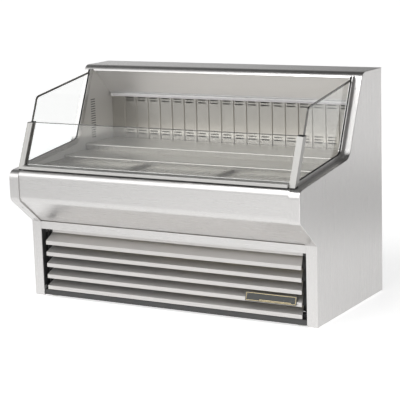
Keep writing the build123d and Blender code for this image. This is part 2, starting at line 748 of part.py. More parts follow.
with BuildPart() as lamp_diffuser:
    with BuildSketch(Plane.YZ.offset(-LAMP_HALF)):
        with BuildLine():
            FilletPolyline(
                (LAMP_Y[0] + 1, LAMP_SPLIT),
                (LAMP_Y[0] + 1, LAMP_BOTTOM + 1),
                (LAMP_Y[1] - 1, LAMP_BOTTOM + 1),
                (LAMP_Y[1] - 1, LAMP_SPLIT),
                radius=(0, 7, 7, 0),
                close=True,
            )
        make_face()
    extrude(amount=2 * LAMP_HALF)
    with BuildSketch(Plane.YZ.offset(-LAMP_HALF)):
        with Locations(((LAMP_Y[0] + LAMP_Y[1]) / 2, LAMP_SPLIT - 3)):
            Rectangle(14, 7)
    extrude(amount=2 * LAMP_HALF, mode=Mode.SUBTRACT)

# ---------------------------------------------------------------- glass and its framing
POST_REAR_Y = POST_FOOT_Y + POST_DEPTH
FRONT_GLASS_Y = POST_FOOT_Y + FRONT_GLASS_SETBACK
SIDE_GLASS_Y = POST_FOOT_Y + SIDE_GLASS_SETBACK
GLASS_POCKET = 8.0
TOP_CUT = Plane((POST_INNER, 0, POST_TOP_Z), z_dir=(sin(radians(5)), 0, cos(radians(5))))

with BuildPart() as right_front_post:
    with BuildSketch(Plane.YZ.offset(POST_INNER)):
        add(slab(POST_FOOT_Y, POST_REAR_Y, POST_FOOT_Z - 10, POST_TOP_Z + 5))
        add(grown(END_OUTLINE, POST_FOOT_LIFT), mode=Mode.SUBTRACT)
    extrude(amount=POST_OUTER - POST_INNER)
    fillet(right_front_post.edges().filter_by(Axis.X, reverse=True).group_by(Axis.Y)[0], 1.5)
    with BuildSketch(Plane.YZ.offset(POST_INNER)):
        add(slab(FRONT_GLASS_Y - GLASS_GROOVE, FRONT_GLASS_Y + GLASS_RUN + GLASS_GROOVE, 600, 900))
    extrude(amount=GLASS_POCKET, mode=Mode.SUBTRACT)
    with BuildSketch(Plane.YZ.offset(SIDE_GLASS_X - GLASS_GROOVE)):
        add(slab(SIDE_GLASS_Y - GLASS_GROOVE, POST_REAR_Y + 20, 600, 900))
    extrude(amount=GLASS + 2 * GLASS_GROOVE, mode=Mode.SUBTRACT)
    split(bisect_by=TOP_CUT, keep=Keep.BOTTOM)

with BuildPart() as left_front_post:
    mirror(right_front_post.part, about=Plane.YZ)

with BuildPart() as front_glass:
    with BuildSketch(Plane.YZ.offset(-POST_INNER - GLASS_POCKET + GLASS_GROOVE)):
        add(slab(FRONT_GLASS_Y, FRONT_GLASS_Y + GLASS_RUN, POST_FOOT_Z + 10, POST_TOP_Z))
    extrude(amount=2 * (POST_INNER + GLASS_POCKET - GLASS_GROOVE))
    chamfer(front_glass.edges().filter_by(Axis.X), 0.8)

RAIL_LIFT = 4.0


def rail_z(y):
    """Underside of the glass rail, just above the belly's ledge."""
    return ledge_z(y, PANEL_LEDGE) + 3 + RAIL_LIFT - 0.5


with BuildPart() as glass_rail:
    rail_face = face_of(
        (
            (RAIL_FRONT_Y, rail_z(RAIL_FRONT_Y)),
            (RAIL_FRONT_Y + 2, rail_z(RAIL_FRONT_Y) + 15),
            (RAIL_REAR_Y, rail_z(RAIL_REAR_Y) + 15),
            (RAIL_REAR_Y, rail_z(RAIL_REAR_Y)),
        ),
        (1.5, 2, 2, 1.5),
    )
    with BuildSketch(Plane.YZ.offset(-POST_INNER + GAP)):
        add(rail_face)
        groove_rear = FRONT_GLASS_Y + GLASS_RUN + GLASS_GROOVE
        add(slab(FRONT_GLASS_Y - GLASS_GROOVE, groove_rear, POST_FOOT_Z + 9, 900), mode=Mode.SUBTRACT)
    extrude(amount=2 * (POST_INNER - GAP))

with BuildPart() as right_side_glass:
    with BuildSketch(Plane.YZ.offset(SIDE_GLASS_X)):
        add(GLASS_SWEEP)
        add(slab(FRONT - 300, SIDE_GLASS_Y, 500, 1200), mode=Mode.SUBTRACT)
        add(grown(END_OUTLINE, 5), mode=Mode.SUBTRACT)
    extrude(amount=GLASS)
    chamfer(right_side_glass.faces().sort_by(Axis.X)[-1].edges(), 0.8)

with BuildPart() as left_side_glass:
    mirror(right_side_glass.part, about=Plane.YZ)

CHANNEL_BASE = 3.0
GASKET_HALF = 1.6

with BuildPart() as right_glass_channel:
    with BuildSketch(Plane.YZ.offset(CHANNEL_X[0])):
        add(ledge_band(0.2, CHANNEL_HEIGHT))
    extrude(amount=CHANNEL_X[1] - CHANNEL_X[0])
    with BuildSketch(Plane.YZ.offset(SIDE_GLASS_X - GASKET_HALF)):
        add(ledge_band(CHANNEL_BASE, CHANNEL_HEIGHT + 5))
    extrude(amount=GLASS + 2 * GASKET_HALF, mode=Mode.SUBTRACT)

with BuildPart() as left_glass_channel:
    mirror(right_glass_channel.part, about=Plane.YZ)

with BuildPart() as glass_gaskets:
    for side in (-1, 1):
        for inner_face in (SIDE_GLASS_X - GASKET_HALF, SIDE_GLASS_X + GLASS + 0.1):
            with BuildSketch(Plane.YZ.offset(side * inner_face)):
                add(ledge_band(CHANNEL_BASE + 3, CHANNEL_HEIGHT + 2.5))
            extrude(amount=side * (GASKET_HALF - 0.1))
    with BuildSketch(Plane.YZ.offset(-POST_INNER + GAP)):
        with BuildLine():
            Polyline(
                (RAIL_FRONT_Y + 4, rail_z(RAIL_FRONT_Y + 4) - 0.1),
                (RAIL_REAR_Y - 4, rail_z(RAIL_REAR_Y - 4) - 0.1),
                (RAIL_REAR_Y - 4, rail_z(RAIL_REAR_Y - 4) - RAIL_LIFT + 0.6),
                (RAIL_FRONT_Y + 24, rail_z(RAIL_FRONT_Y + 24) - RAIL_LIFT + 0.6),
                (RAIL_FRONT_Y + 4, rail_z(RAIL_FRONT_Y + 4) - 3),
                close=True,
            )
        make_face()
    extrude(amount=2 * (POST_INNER - GAP))

# ---------------------------------------------------------------- louvre grille
with BuildPart() as louvre_grille:
    for blade in range(BLADES):
        lip_top = TOP_LIP_Z - blade * BLADE_PITCH
        depth, rise = BLADE_DEPTH, BLADE_RISE
        blade_path = [(TOE_Y, lip_top - LIP_HEIGHT), (TOE_Y, lip_top), (TOE_Y + depth, lip_top + rise)]
        rounds = [2]
        if blade == 0:
            depth, rise = TOP_BLADE_DEPTH, TOP_BLADE_RISE
            blade_path[2] = (TOE_Y + depth, lip_top + rise)
            blade_path.append((TOE_Y + depth, lip_top + rise + 14))
            rounds = [2, 2]
        with BuildSketch(Plane.YZ.offset(-BLADE_HALF)):
            add(folded(blade_path, rounds, thickness=BLADE_SHEET))
        extrude(amount=2 * BLADE_HALF)
    # the blades are narrower at the back
    with BuildSketch(Plane.XY):
        with BuildLine():
            Polyline(
                (-BLADE_HALF, TOE_Y - 1),
                (-BLADE_HALF, TOE_Y + 3),
                (-BLADE_HALF + BLADE_MITRE, TOE_Y + BLADE_DEPTH + 2),
                (BLADE_HALF - BLADE_MITRE, TOE_Y + BLADE_DEPTH + 2),
                (BLADE_HALF, TOE_Y + 3),
                (BLADE_HALF, TOE_Y - 1),
                close=True,
            )
        make_face()
    extrude(amount=HEIGHT, mode=Mode.INTERSECT)

STILE_DEPTH = 24.0
STILE_FLANGE = 30.0
STILE_MIDDLE_Z = (STILE_TOP + STILE_BOTTOM) / 2

# black stiles behind the blade ends, each with the hook that hangs on its pin
with BuildPart() as grille_stiles:
    for side in (-1, 1):
        with BuildSketch(Plane.YZ.offset(side * STILE_X)):
            with Locations((GRILLE_PIN_Y + 1, STILE_MIDDLE_Z)):
                Rectangle(STILE_DEPTH, STILE_TOP - STILE_BOTTOM)
            with Locations((GRILLE_PIN_Y, GRILLE_PIN_Z)):
                Circle(PIN_RADIUS + PIN_CLEARANCE, mode=Mode.SUBTRACT)
                with Locations((8, -2)):
                    Rectangle(16, 2 * (PIN_RADIUS + PIN_CLEARANCE) - 2, mode=Mode.SUBTRACT)
        extrude(amount=-side * 3)
        with BuildSketch(Plane.XZ.offset(-GRILLE_PIN_Y - 9)):
            with Locations((side * (STILE_X - STILE_FLANGE / 2), STILE_MIDDLE_Z)):
                Rectangle(STILE_FLANGE, STILE_TOP - STILE_BOTTOM)
        extrude(amount=1.6)
        # tab that joins the top blade to the stile
        with Locations((side * (STILE_X - 20), GRILLE_PIN_Y + 4, STILE_TOP - 10)):
            Box(20, 7, 12)

BADGE_X = (406.0, 662.0)
BADGE_TILT = 20.0
BADGE_HEIGHT = 42.0
BADGE_THICKNESS = 2.0
BADGE_PLANE = Plane(
    origin=((BADGE_X[0] + BADGE_X[1]) / 2, TOE_Y - 5.7, TOP_LIP_Z - 3 * BLADE_PITCH - LIP_HEIGHT + 3),
    x_dir=(1, 0, 0),
    z_dir=(0, -cos(radians(BADGE_TILT)), sin(radians(BADGE_TILT))),
)

with BuildPart() as nameplate:
    with BuildSketch(BADGE_PLANE):
        with Locations((0, BADGE_HEIGHT / 2)):
            RectangleRounded(BADGE_X[1] - BADGE_X[0], BADGE_HEIGHT, 3)
    extrude(amount=BADGE_THICKNESS)
    with BuildSketch(BADGE_PLANE.offset(BADGE_THICKNESS - 0.4)):
        with Locations((0, BADGE_HEIGHT / 2)):
            RectangleRounded(BADGE_X[1] - BADGE_X[0] - 6, BADGE_HEIGHT - 6, 2)
    extrude(amount=1, mode=Mode.SUBTRACT)


# ---------------------------------------------------------------- heat exchangers and fans
def finned_coil(x_range, y_range, z_range, fins, rows, columns):
    """Fin block with straight tubes along X, return bends at both ends and two stubs."""
    width = x_range[1] - x_range[0]
    depth = y_range[1] - y_range[0]
    height = z_range[1] - z_range[0]
    middle = ((x_range[0] + x_range[1]) / 2, (y_range[0] + y_range[1]) / 2, (z_range[0] + z_range[1]) / 2)
    row_pitch = height / rows
    tube_ys = [y_range[0] + depth * (column + 0.5) / columns for column in range(columns)]
    tube_zs = [z_range[0] + row_pitch * (row + 0.5) for row in range(rows)]
    with BuildPart() as coil:
        for fin in range(fins):
            with Locations((x_range[0] + width * fin / (fins - 1), middle[1], middle[2])):
                Box(1.6 if fin in (0, fins - 1) else 0.6, depth, height)
        for y in tube_ys:
            for z in tube_zs:
                with Locations((middle[0], y, z)):
                    Cylinder(TUBE_RADIUS, width + 30, rotation=(0, 90, 0))
            for row in range(rows - 1):
                side = 1 if row % 2 else -1
                end_x = x_range[1] + 15 if side > 0 else x_range[0] - 15
                bend_z = (tube_zs[row] + tube_zs[row + 1]) / 2
                with BuildSketch(Plane.YZ.offset(end_x)):
                    with Locations((y, tube_zs[row])):
                        Circle(TUBE_RADIUS)
                axis = Axis((end_x, y, bend_z), (0, -side, 0))
                revolve(axis=axis, revolution_arc=180)
    return coil


condenser_coil = finned_coil(CONDENSER_X, CONDENSER_Y, CONDENSER_Z, 60, CONDENSER_ROWS, 1)
evaporator_coil = finned_coil(
    (-EVAPORATOR_HALF, EVAPORATOR_HALF),
    EVAPORATOR_Y,
    EVAPORATOR_Z,
    64,
    EVAPORATOR_ROWS,
    EVAPORATOR_COLUMNS,
)


def fan_wheel(centre, radius, hub_radius, hub_length, chord, shaft_length):
    """Five pitched blades on a hub; the shaft runs back along +Y into the motor."""
    with BuildPart(Plane(centre, x_dir=(1, 0, 0), z_dir=(0, 1, 0))) as wheel:
        with PolarLocations(0, 5):
            Box(
                radius + 10,
                chord,
                1.8,
                rotation=(28, 0, 0),
                align=(Align.MIN, Align.CENTER, Align.CENTER),
            )
        Cylinder(radius, 4 * hub_length, mode=Mode.INTERSECT)
        Cylinder(hub_radius, hub_length)
        with Locations((0, 0, hub_length / 2 + shaft_length / 2)):
            Cylinder(SHAFT_RADIUS, shaft_length)
    return wheel


def fan_motor(centre, radius, length, mount_y, mount_radius):
    """Motor can with a bearing bore and three arms to the shroud plate at mount_y."""
    with BuildPart(Plane(centre, x_dir=(1, 0, 0), z_dir=(0, 1, 0))) as motor:
        Cylinder(radius, length, align=(Align.CENTER, Align.CENTER, Align.MIN))
        fillet(motor.edges().filter_by(GeomType.CIRCLE), 3)
        with PolarLocations(0, 3, start_angle=90):
            with Locations((radius - 3, 0, 6)):
                Box(mount_radius - radius + 3, 14, 3, align=(Align.MIN, Align.CENTER, Align.MIN))
            with Locations((mount_radius - 3, 0, mount_y - centre[1])):
                Box(3, 14, centre[1] + 9 - mount_y, align=(Align.MIN, Align.CENTER, Align.MIN))
        Cylinder(BORE_RADIUS, 22, align=(Align.CENTER, Align.CENTER, Align.MIN), mode=Mode.SUBTRACT)
    return motor


EVAPORATOR_FAN_Y = EVAPORATOR_SHROUD_Y - 6.0
EVAPORATOR_MOTOR_Y = EVAPORATOR_SHROUD_Y + 22.0
HUB_RADIUS = 24.0
HUB_LENGTH = 30.0
SHAFT_LENGTH = 24.0

EVAPORATOR_WHEEL = (EVAPORATOR_FAN_RADIUS, HUB_RADIUS, HUB_LENGTH, 54, SHAFT_LENGTH)
evaporator_fan_left = fan_wheel(
    (-EVAPORATOR_FAN_X, EVAPORATOR_FAN_Y, EVAPORATOR_FAN_Z), *EVAPORATOR_WHEEL
)
evaporator_fan_right = fan_wheel(
    (EVAPORATOR_FAN_X, EVAPORATOR_FAN_Y, EVAPORATOR_FAN_Z), *EVAPORATOR_WHEEL
)

with BuildPart() as evaporator_fan_motors:
    for side in (-1, 1):
        motor = fan_motor(
            (side * EVAPORATOR_FAN_X, EVAPORATOR_MOTOR_Y, EVAPORATOR_FAN_Z),
            34,
            52,
            EVAPORATOR_SHROUD_Y + SHEET,
            EVAPORATOR_FAN_RADIUS + 20,
        )
        add(motor.part)

with BuildPart() as evaporator_fan_shroud:
    with BuildSketch(Plane.XZ.offset(-EVAPORATOR_SHROUD_Y - SHEET)):
        with Locations((0, (TANK_FLOOR_FRONT + LEG_Z) / 2 + 4)):
            Rectangle(2 * (SPAN - 8), LEG_Z - TANK_FLOOR_FRONT + 6)
        for side in (-1, 1):
            with Locations((side * EVAPORATOR_FAN_X, EVAPORATOR_FAN_Z)):
                Circle(EVAPORATOR_FAN_RADIUS + FAN_TIP_CLEARANCE, mode=Mode.SUBTRACT)
    extrude(amount=SHEET)

CONDENSER_FAN_CENTRE = ((CONDENSER_X[0] + CONDENSER_X[1]) / 2, -140.0, 200.0)
CONDENSER_MOTOR_Y = CONDENSER_FAN_CENTRE[1] + 28
SHROUD_REAR = -135.0

with BuildPart() as condenser_fan_shroud:
    with BuildSketch(Plane.XZ.offset(-CONDENSER_Y[1] - 1)):
        with Locations((CONDENSER_FAN_CENTRE[0], (CONDENSER_Z[0] + CONDENSER_Z[1]) / 2)):
            Rectangle(CONDENSER_X[1] - CONDENSER_X[0], CONDENSER_Z[1] - CONDENSER_Z[0])
    extrude(amount=CONDENSER_Y[1] + 1 - SHROUD_REAR)
    with BuildSketch(Plane.XZ.offset(-CONDENSER_Y[1] - 1)):
        with Locations((CONDENSER_FAN_CENTRE[0], (CONDENSER_Z[0] + CONDENSER_Z[1]) / 2)):
            Rectangle(CONDENSER_X[1] - CONDENSER_X[0] - 3, CONDENSER_Z[1] - CONDENSER_Z[0] - 3)
    extrude(amount=CONDENSER_Y[1] + 1 - SHROUD_REAR + SHEET, mode=Mode.SUBTRACT)
    with BuildSketch(Plane.XZ.offset(-SHROUD_REAR)):
        with Locations(CONDENSER_FAN_CENTRE[0::2]):
            Circle(CONDENSER_FAN_RADIUS + FAN_TIP_CLEARANCE)
    extrude(amount=4, both=True, mode=Mode.SUBTRACT)

condenser_fan = fan_wheel(CONDENSER_FAN_CENTRE, CONDENSER_FAN_RADIUS, 30, 34, 60, SHAFT_LENGTH)
condenser_fan_motor = fan_motor(
    (CONDENSER_FAN_CENTRE[0], CONDENSER_MOTOR_Y, CONDENSER_FAN_CENTRE[2]),
    44,
    70,
    SHROUD_REAR + 0.1,
    CONDENSER_FAN_RADIUS + 12,
)

# ---------------------------------------------------------------- condensing unit
with BuildPart() as condensing_unit_base:
    with BuildSketch(Plane.XY.offset(FRAME_TOP + 0.1)):
        with Locations((0, 90)):
            Rectangle(1320, 640)
    extrude(amount=UNIT_BASE_SHEET - 0.1)
    with BuildSketch(Plane.XY.offset(UNIT_DECK_Z)):
        for y in (-229, 409):
            with Locations((0, y)):
                Rectangle(1320, 2)
    extrude(amount=14)
    with Locations(*[(x, y, UNIT_DECK_Z) for x, y in FOOT_PLACES.values()]):
        Cylinder(18, 20, mode=Mode.SUBTRACT)

COMPRESSOR_BASE_Z = UNIT_DECK_Z + 18
COMPRESSOR_HEIGHT = 205.0

with BuildPart() as compressor:
    with BuildSketch(Plane.XY.offset(COMPRESSOR_BASE_Z)):
        with Locations(COMPRESSOR_XY):
            Circle(COMPRESSOR_RADIUS)
    extrude(amount=COMPRESSOR_HEIGHT)
    fillet(compressor.edges().group_by(Axis.Z)[-1], 46)
    fillet(compressor.edges().group_by(Axis.Z)[0], 20)
    with BuildSketch(Plane.XY.offset(COMPRESSOR_BASE_Z + 96)):
        with Locations(COMPRESSOR_XY):
            Circle(COMPRESSOR_RADIUS + 4)
    extrude(amount=8)
    with BuildSketch(Plane.XY.offset(COMPRESSOR_BASE_Z - 2)):
        with Locations(COMPRESSOR_XY):
            RectangleRounded(210, 170, 20)
    extrude(amount=4)
    with BuildSketch(Plane.XY.offset(UNIT_DECK_Z)):
        with Locations(COMPRESSOR_XY):
            with GridLocations(170, 130, 2, 2):
                Circle(13)
    extrude(amount=COMPRESSOR_BASE_Z - UNIT_DECK_Z)
    with Locations((COMPRESSOR_XY[0], COMPRESSOR_XY[1] + COMPRESSOR_RADIUS + 6, COMPRESSOR_BASE_Z + 130)):
        Box(62, 40, 70)
    with Locations((COMPRESSOR_XY[0], COMPRESSOR_XY[1], COMPRESSOR_BASE_Z + COMPRESSOR_HEIGHT + 2)):
        Cylinder(7, 18)
    with Locations((COMPRESSOR_XY[0] + COMPRESSOR_RADIUS + 4, COMPRESSOR_XY[1], COMPRESSOR_BASE_Z + 130)):
        Cylinder(9, 24, rotation=(0, 90, 0))

RECEIVER_X = (330.0, 600.0)
RECEIVER_RADIUS = 42.0

with BuildPart() as liquid_receiver:
    with BuildSketch(Plane.YZ.offset(RECEIVER_X[0])):
        with Locations((RECEIVER_Y, RECEIVER_Z)):
            Circle(RECEIVER_RADIUS)
    extrude(amount=RECEIVER_X[1] - RECEIVER_X[0])
    fillet(liquid_receiver.edges().filter_by(GeomType.CIRCLE), 22)
    for x in (RECEIVER_X[0] + 50, RECEIVER_X[1] - 50):
        with BuildSketch(Plane.YZ.offset(x - 10)):
            with Locations((RECEIVER_Y, (UNIT_DECK_Z + RECEIVER_Z) / 2)):
                Rectangle(70, RECEIVER_Z - UNIT_DECK_Z)
        extrude(amount=20)

CONDENSER_TUBE = (CONDENSER_Z[1] - CONDENSER_Z[0]) / CONDENSER_ROWS
CONDENSER_TUBE_Y = (CONDENSER_Y[0] + CONDENSER_Y[1]) / 2
COIL_END = CONDENSER_X[1] + 15
TOP_TUBE_Z = CONDENSER_Z[1] - CONDENSER_TUBE / 2
LOW_TUBE_Z = CONDENSER_Z[0] + CONDENSER_TUBE / 2
EVAPORATOR_END = EVAPORATOR_HALF + 15
EVAPORATOR_TUBE = (EVAPORATOR_Z[1] - EVAPORATOR_Z[0]) / EVAPORATOR_ROWS
EVAPORATOR_LOW = EVAPORATOR_Z[0] + EVAPORATOR_TUBE / 2
EVAPORATOR_TOP = EVAPORATOR_Z[1] - EVAPORATOR_TUBE / 2
COMPRESSOR_TOP = COMPRESSOR_BASE_Z + COMPRESSOR_HEIGHT + 11
SUCTION_PORT = (COMPRESSOR_XY[0] + COMPRESSOR_RADIUS + 16, COMPRESSOR_XY[1], COMPRESSOR_BASE_Z + 130)

PIPE_ROUTES = (
    (
        (COMPRESSOR_XY[0], COMPRESSOR_XY[1], COMPRESSOR_TOP),
        (COMPRESSOR_XY[0], COMPRESSOR_XY[1], 335),
        (-60, COMPRESSOR_XY[1], 335),
        (-60, CONDENSER_TUBE_Y, TOP_TUBE_Z),
        (COIL_END, CONDENSER_TUBE_Y, TOP_TUBE_Z),
    ),
    (
        (COIL_END, CONDENSER_TUBE_Y, LOW_TUBE_Z),
        (60, CONDENSER_TUBE_Y, LOW_TUBE_Z),
        (60, RECEIVER_Y, LOW_TUBE_Z),
        (60, RECEIVER_Y, RECEIVER_Z),
        (RECEIVER_X[0], RECEIVER_Y, RECEIVER_Z),
    ),
    (
        (RECEIVER_X[1], RECEIVER_Y, RECEIVER_Z),
        (PIPE_HOLES[0][0], LIQUID_Y, RECEIVER_Z),
        (PIPE_HOLES[0][0], LIQUID_Y, EVAPORATOR_LOW),
        (EVAPORATOR_END, LIQUID_Y, EVAPORATOR_LOW),
    ),
    (
        (EVAPORATOR_END, SUCTION_Y, EVAPORATOR_TOP),
        (PIPE_HOLES[1][0], SUCTION_Y, EVAPORATOR_TOP),
        (PIPE_HOLES[1][0], SUCTION_Y, SUCTION_PORT[2] + 60),
        (PIPE_HOLES[1][0], COMPRESSOR_XY[1], SUCTION_PORT[2]),
        SUCTION_PORT,
    ),
)

with BuildPart() as refrigerant_lines:
    for route in PIPE_ROUTES:
        with BuildLine() as pipe_path:
            FilletPolyline(*route, radius=16)
        start = Plane(route[0], z_dir=pipe_path.line % 0)
        with BuildSketch(start):
            Circle(PIPE_RADIUS)
        sweep(path=pipe_path.line)

with BuildPart() as condensate_pan:
    with BuildSketch(Plane.XY.offset(UNIT_DECK_Z + 0.1)):
        with Locations((-420, 200)):
            RectangleRounded(400, 240, 12)
    extrude(amount=34)
    with BuildSketch(Plane.XY.offset(UNIT_DECK_Z + 2.1)):
        with Locations((-420, 200)):
            RectangleRounded(396, 236, 10)
    extrude(amount=34, mode=Mode.SUBTRACT)

# ---------------------------------------------------------------- electrical
BOX_X = (385.0, 595.0)
BOX_Z = (190.0, 320.0)
BOX_DEPTH = 90.0

with BuildPart() as electrical_box:
    with BuildSketch(Plane.XZ.offset(-SERVICE_Y + 0.2)):
        with Locations(((BOX_X[0] + BOX_X[1]) / 2, (BOX_Z[0] + BOX_Z[1]) / 2)):
            Rectangle(BOX_X[1] - BOX_X[0], BOX_Z[1] - BOX_Z[0])
    extrude(amount=BOX_DEPTH)
    with BuildSketch(Plane.XZ.offset(-SERVICE_Y + 0.2)):
        with Locations(((BOX_X[0] + BOX_X[1]) / 2, (BOX_Z[0] + BOX_Z[1]) / 2)):
            Rectangle(BOX_X[1] - BOX_X[0] - 3, BOX_Z[1] - BOX_Z[0] - 3)
    extrude(amount=BOX_DEPTH - SHEET, mode=Mode.SUBTRACT)

KNOB_RADIUS = 17.0

KNOB_BASE = (KNOB_XZ[0], SERVICE_Y + SHEET + 0.6, KNOB_XZ[1])
KNOB_PLANE = Plane(KNOB_BASE, x_dir=(1, 0, 0), z_dir=(0, 1, 0))

with BuildPart(KNOB_PLANE) as temperature_knob:
    Cylinder(KNOB_RADIUS, 12, align=(Align.CENTER, Align.CENTER, Align.MIN))
    fillet(temperature_knob.edges().group_by(Axis.Y)[-1], 2)
    with Locations((0, 0, 12)):
        Box(6, 2 * KNOB_RADIUS - 6, 5, align=(Align.CENTER, Align.CENTER, Align.MIN))
    with Locations((0, 0, 0)):
        Cylinder(SHAFT_RADIUS - 0.4, 16, align=(Align.CENTER, Align.CENTER, Align.MAX))

ROCKER_RADIUS = 11.0
ROCKER_WIDTH = 12.4
ROCKER_REST = 8.0  # degrees, tilted to its "on" side

with BuildPart() as light_switch:
    with BuildSketch(Plane.YZ.offset(SWITCH_XZ[0] - ROCKER_WIDTH / 2)):
        with Locations((SWITCH_PIVOT_Y, SWITCH_XZ[1])):
            Circle(ROCKER_RADIUS)
            for lean in (ROCKER_REST - 14, ROCKER_REST + 14):
                with Locations(Location((9, 0, 0), (0, 0, lean))):
                    Rectangle(6, 40, align=(Align.MIN, Align.CENTER), mode=Mode.SUBTRACT)
    extrude(amount=ROCKER_WIDTH)

with BuildPart() as power_inlet:
    with BuildSketch(Plane.XZ.offset(-SERVICE_Y - SHEET - 0.1)):
        with Locations(INLET_XZ):
            RectangleRounded(40, 30, 4)
    extrude(amount=-3)
    with BuildSketch(Plane.XZ.offset(-SERVICE_Y - SHEET - 0.1)):
        with Locations(INLET_XZ):
            Rectangle(27, 23)
    extrude(amount=22)
    with BuildSketch(Plane.XZ.offset(-SERVICE_Y - SHEET - 3.1)):
        with Locations(INLET_XZ):
            RectangleRounded(24, 17, 3)
    extrude(amount=18, mode=Mode.SUBTRACT)
    with BuildSketch(Plane.XZ.offset(-SERVICE_Y + 14)):
        with Locations(INLET_XZ):
            with Locations((-7, -1), (0, 3), (7, -1)):
                Rectangle(2, 4)
    extrude(amount=-14)

# ---------------------------------------------------------------- hand-over
pieces = {
    "base_frame": base_frame,
    "left_end_shell": left_end_shell,
    "right_end_shell": right_end_shell,
    "left_end_core": left_end_core,
    "right_end_core": right_end_core,
    "left_end_liner": left_end_liner,
    "right_end_liner": right_end_liner,
    "leg_covers": leg_covers,
    "front_panel": front_panel,
    "toe_rail": toe_rail,
    "top_cover": top_cover,
    "header_panel": header_panel,
    "rear_panel": rear_panel,
    "service_panel": service_panel,
    "casing_screws": casing_screws,
    "tank_core": tank_core,
    "tank_liner": tank_liner,
    "rear_duct_panel": rear_duct_panel,
    "return_air_grille": return_air_grille,
    "deck_pan_left": deck_pan_left,
    "deck_pan_centre": deck_pan_centre,
    "deck_pan_right": deck_pan_right,
    "middle_step_shelf": middle_step_shelf,
    "rear_step_shelf": rear_step_shelf,
    "front_glass": front_glass,
    "left_side_glass": left_side_glass,
    "right_side_glass": right_side_glass,
    "left_front_post": left_front_post,
    "right_front_post": right_front_post,
    "glass_rail": glass_rail,
    "left_glass_channel": left_glass_channel,
    "right_glass_channel": right_glass_channel,
    "glass_gaskets": glass_gaskets,
    "lamp_housing": lamp_housing,
    "lamp_diffuser": lamp_diffuser,
    "louvre_grille": louvre_grille,
    "grille_stiles": grille_stiles,
    "nameplate": nameplate,
    "evaporator_coil": evaporator_coil,
    "evaporator_fan_shroud": evaporator_fan_shroud,
    "evaporator_fan_motors": evaporator_fan_motors,
    "evaporator_fan_left": evaporator_fan_left,
    "evaporator_fan_right": evaporator_fan_right,
    "condensing_unit_base": condensing_unit_base,
    "condenser_coil": condenser_coil,
    "condenser_fan_shroud": condenser_fan_shroud,
    "condenser_fan_motor": condenser_fan_motor,
    "condenser_fan": condenser_fan,
    "compressor": compressor,
    "liquid_receiver": liquid_receiver,
    "refrigerant_lines": refrigerant_lines,
    "condensate_pan": condensate_pan,
    "electrical_box": electrical_box,
    "temperature_knob": temperature_knob,
    "light_switch": light_switch,
    "power_inlet": power_inlet,
    **feet,
}

os.makedirs("parts", exist_ok=True)
for name, piece in pieces.items():
    piece.part.label = name
    export_step(piece.part, f"parts/{name}.step")
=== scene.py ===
import json
import math

import bmesh
import bpy
from mathutils import Matrix, Vector


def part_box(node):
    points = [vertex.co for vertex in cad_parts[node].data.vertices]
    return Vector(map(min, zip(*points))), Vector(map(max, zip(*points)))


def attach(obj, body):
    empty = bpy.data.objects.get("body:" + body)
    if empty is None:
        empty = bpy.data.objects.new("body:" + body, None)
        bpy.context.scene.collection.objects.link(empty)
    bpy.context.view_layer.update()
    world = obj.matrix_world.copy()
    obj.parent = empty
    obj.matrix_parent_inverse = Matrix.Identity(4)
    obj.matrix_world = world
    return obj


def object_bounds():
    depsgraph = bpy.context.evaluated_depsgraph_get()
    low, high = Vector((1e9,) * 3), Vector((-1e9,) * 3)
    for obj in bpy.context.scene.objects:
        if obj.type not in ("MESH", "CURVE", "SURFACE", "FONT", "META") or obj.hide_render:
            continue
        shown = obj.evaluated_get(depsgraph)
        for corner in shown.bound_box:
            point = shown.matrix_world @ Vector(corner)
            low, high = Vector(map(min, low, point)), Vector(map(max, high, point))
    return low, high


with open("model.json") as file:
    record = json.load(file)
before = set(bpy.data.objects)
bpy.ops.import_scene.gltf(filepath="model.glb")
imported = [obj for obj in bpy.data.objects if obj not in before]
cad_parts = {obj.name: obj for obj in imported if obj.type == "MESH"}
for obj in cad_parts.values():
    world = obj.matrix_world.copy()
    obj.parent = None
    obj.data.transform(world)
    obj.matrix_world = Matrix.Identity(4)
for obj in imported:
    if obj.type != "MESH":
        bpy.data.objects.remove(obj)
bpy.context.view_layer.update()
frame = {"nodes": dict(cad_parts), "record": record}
nodes = frame["nodes"]

# ------------------------------------------------------------------ camera
AZIMUTH = math.radians(29.96)
PITCH = math.radians(10.862)
ROLL = math.radians(1.727)
EYE = Vector((3.4218, -5.9027, 1.7869))
FOCAL_PX = 1454.75
IMAGE_PX = 400.0
SENSOR_MM = 36.0

forward = Vector(
    (-math.sin(AZIMUTH) * math.cos(PITCH), math.cos(AZIMUTH) * math.cos(PITCH), -math.sin(PITCH))
)
level = Vector((math.cos(AZIMUTH), math.sin(AZIMUTH), 0))
upward = level.cross(forward)
right = level * math.cos(ROLL) - upward * math.sin(ROLL)
top = level * math.sin(ROLL) + upward * math.cos(ROLL)

camera_data = bpy.data.cameras.new("camera")
camera_data.sensor_width = SENSOR_MM
camera_data.lens = FOCAL_PX / IMAGE_PX * SENSOR_MM
camera_data.clip_end = 60
camera = bpy.data.objects.new("camera", camera_data)
bpy.context.scene.collection.objects.link(camera)
camera.matrix_world = Matrix(
    (
        (right.x, top.x, -forward.x, EYE.x),
        (right.y, top.y, -forward.y, EYE.y),
        (right.z, top.z, -forward.z, EYE.z),
        (0, 0, 0, 1),
    )
)
bpy.context.scene.camera = camera


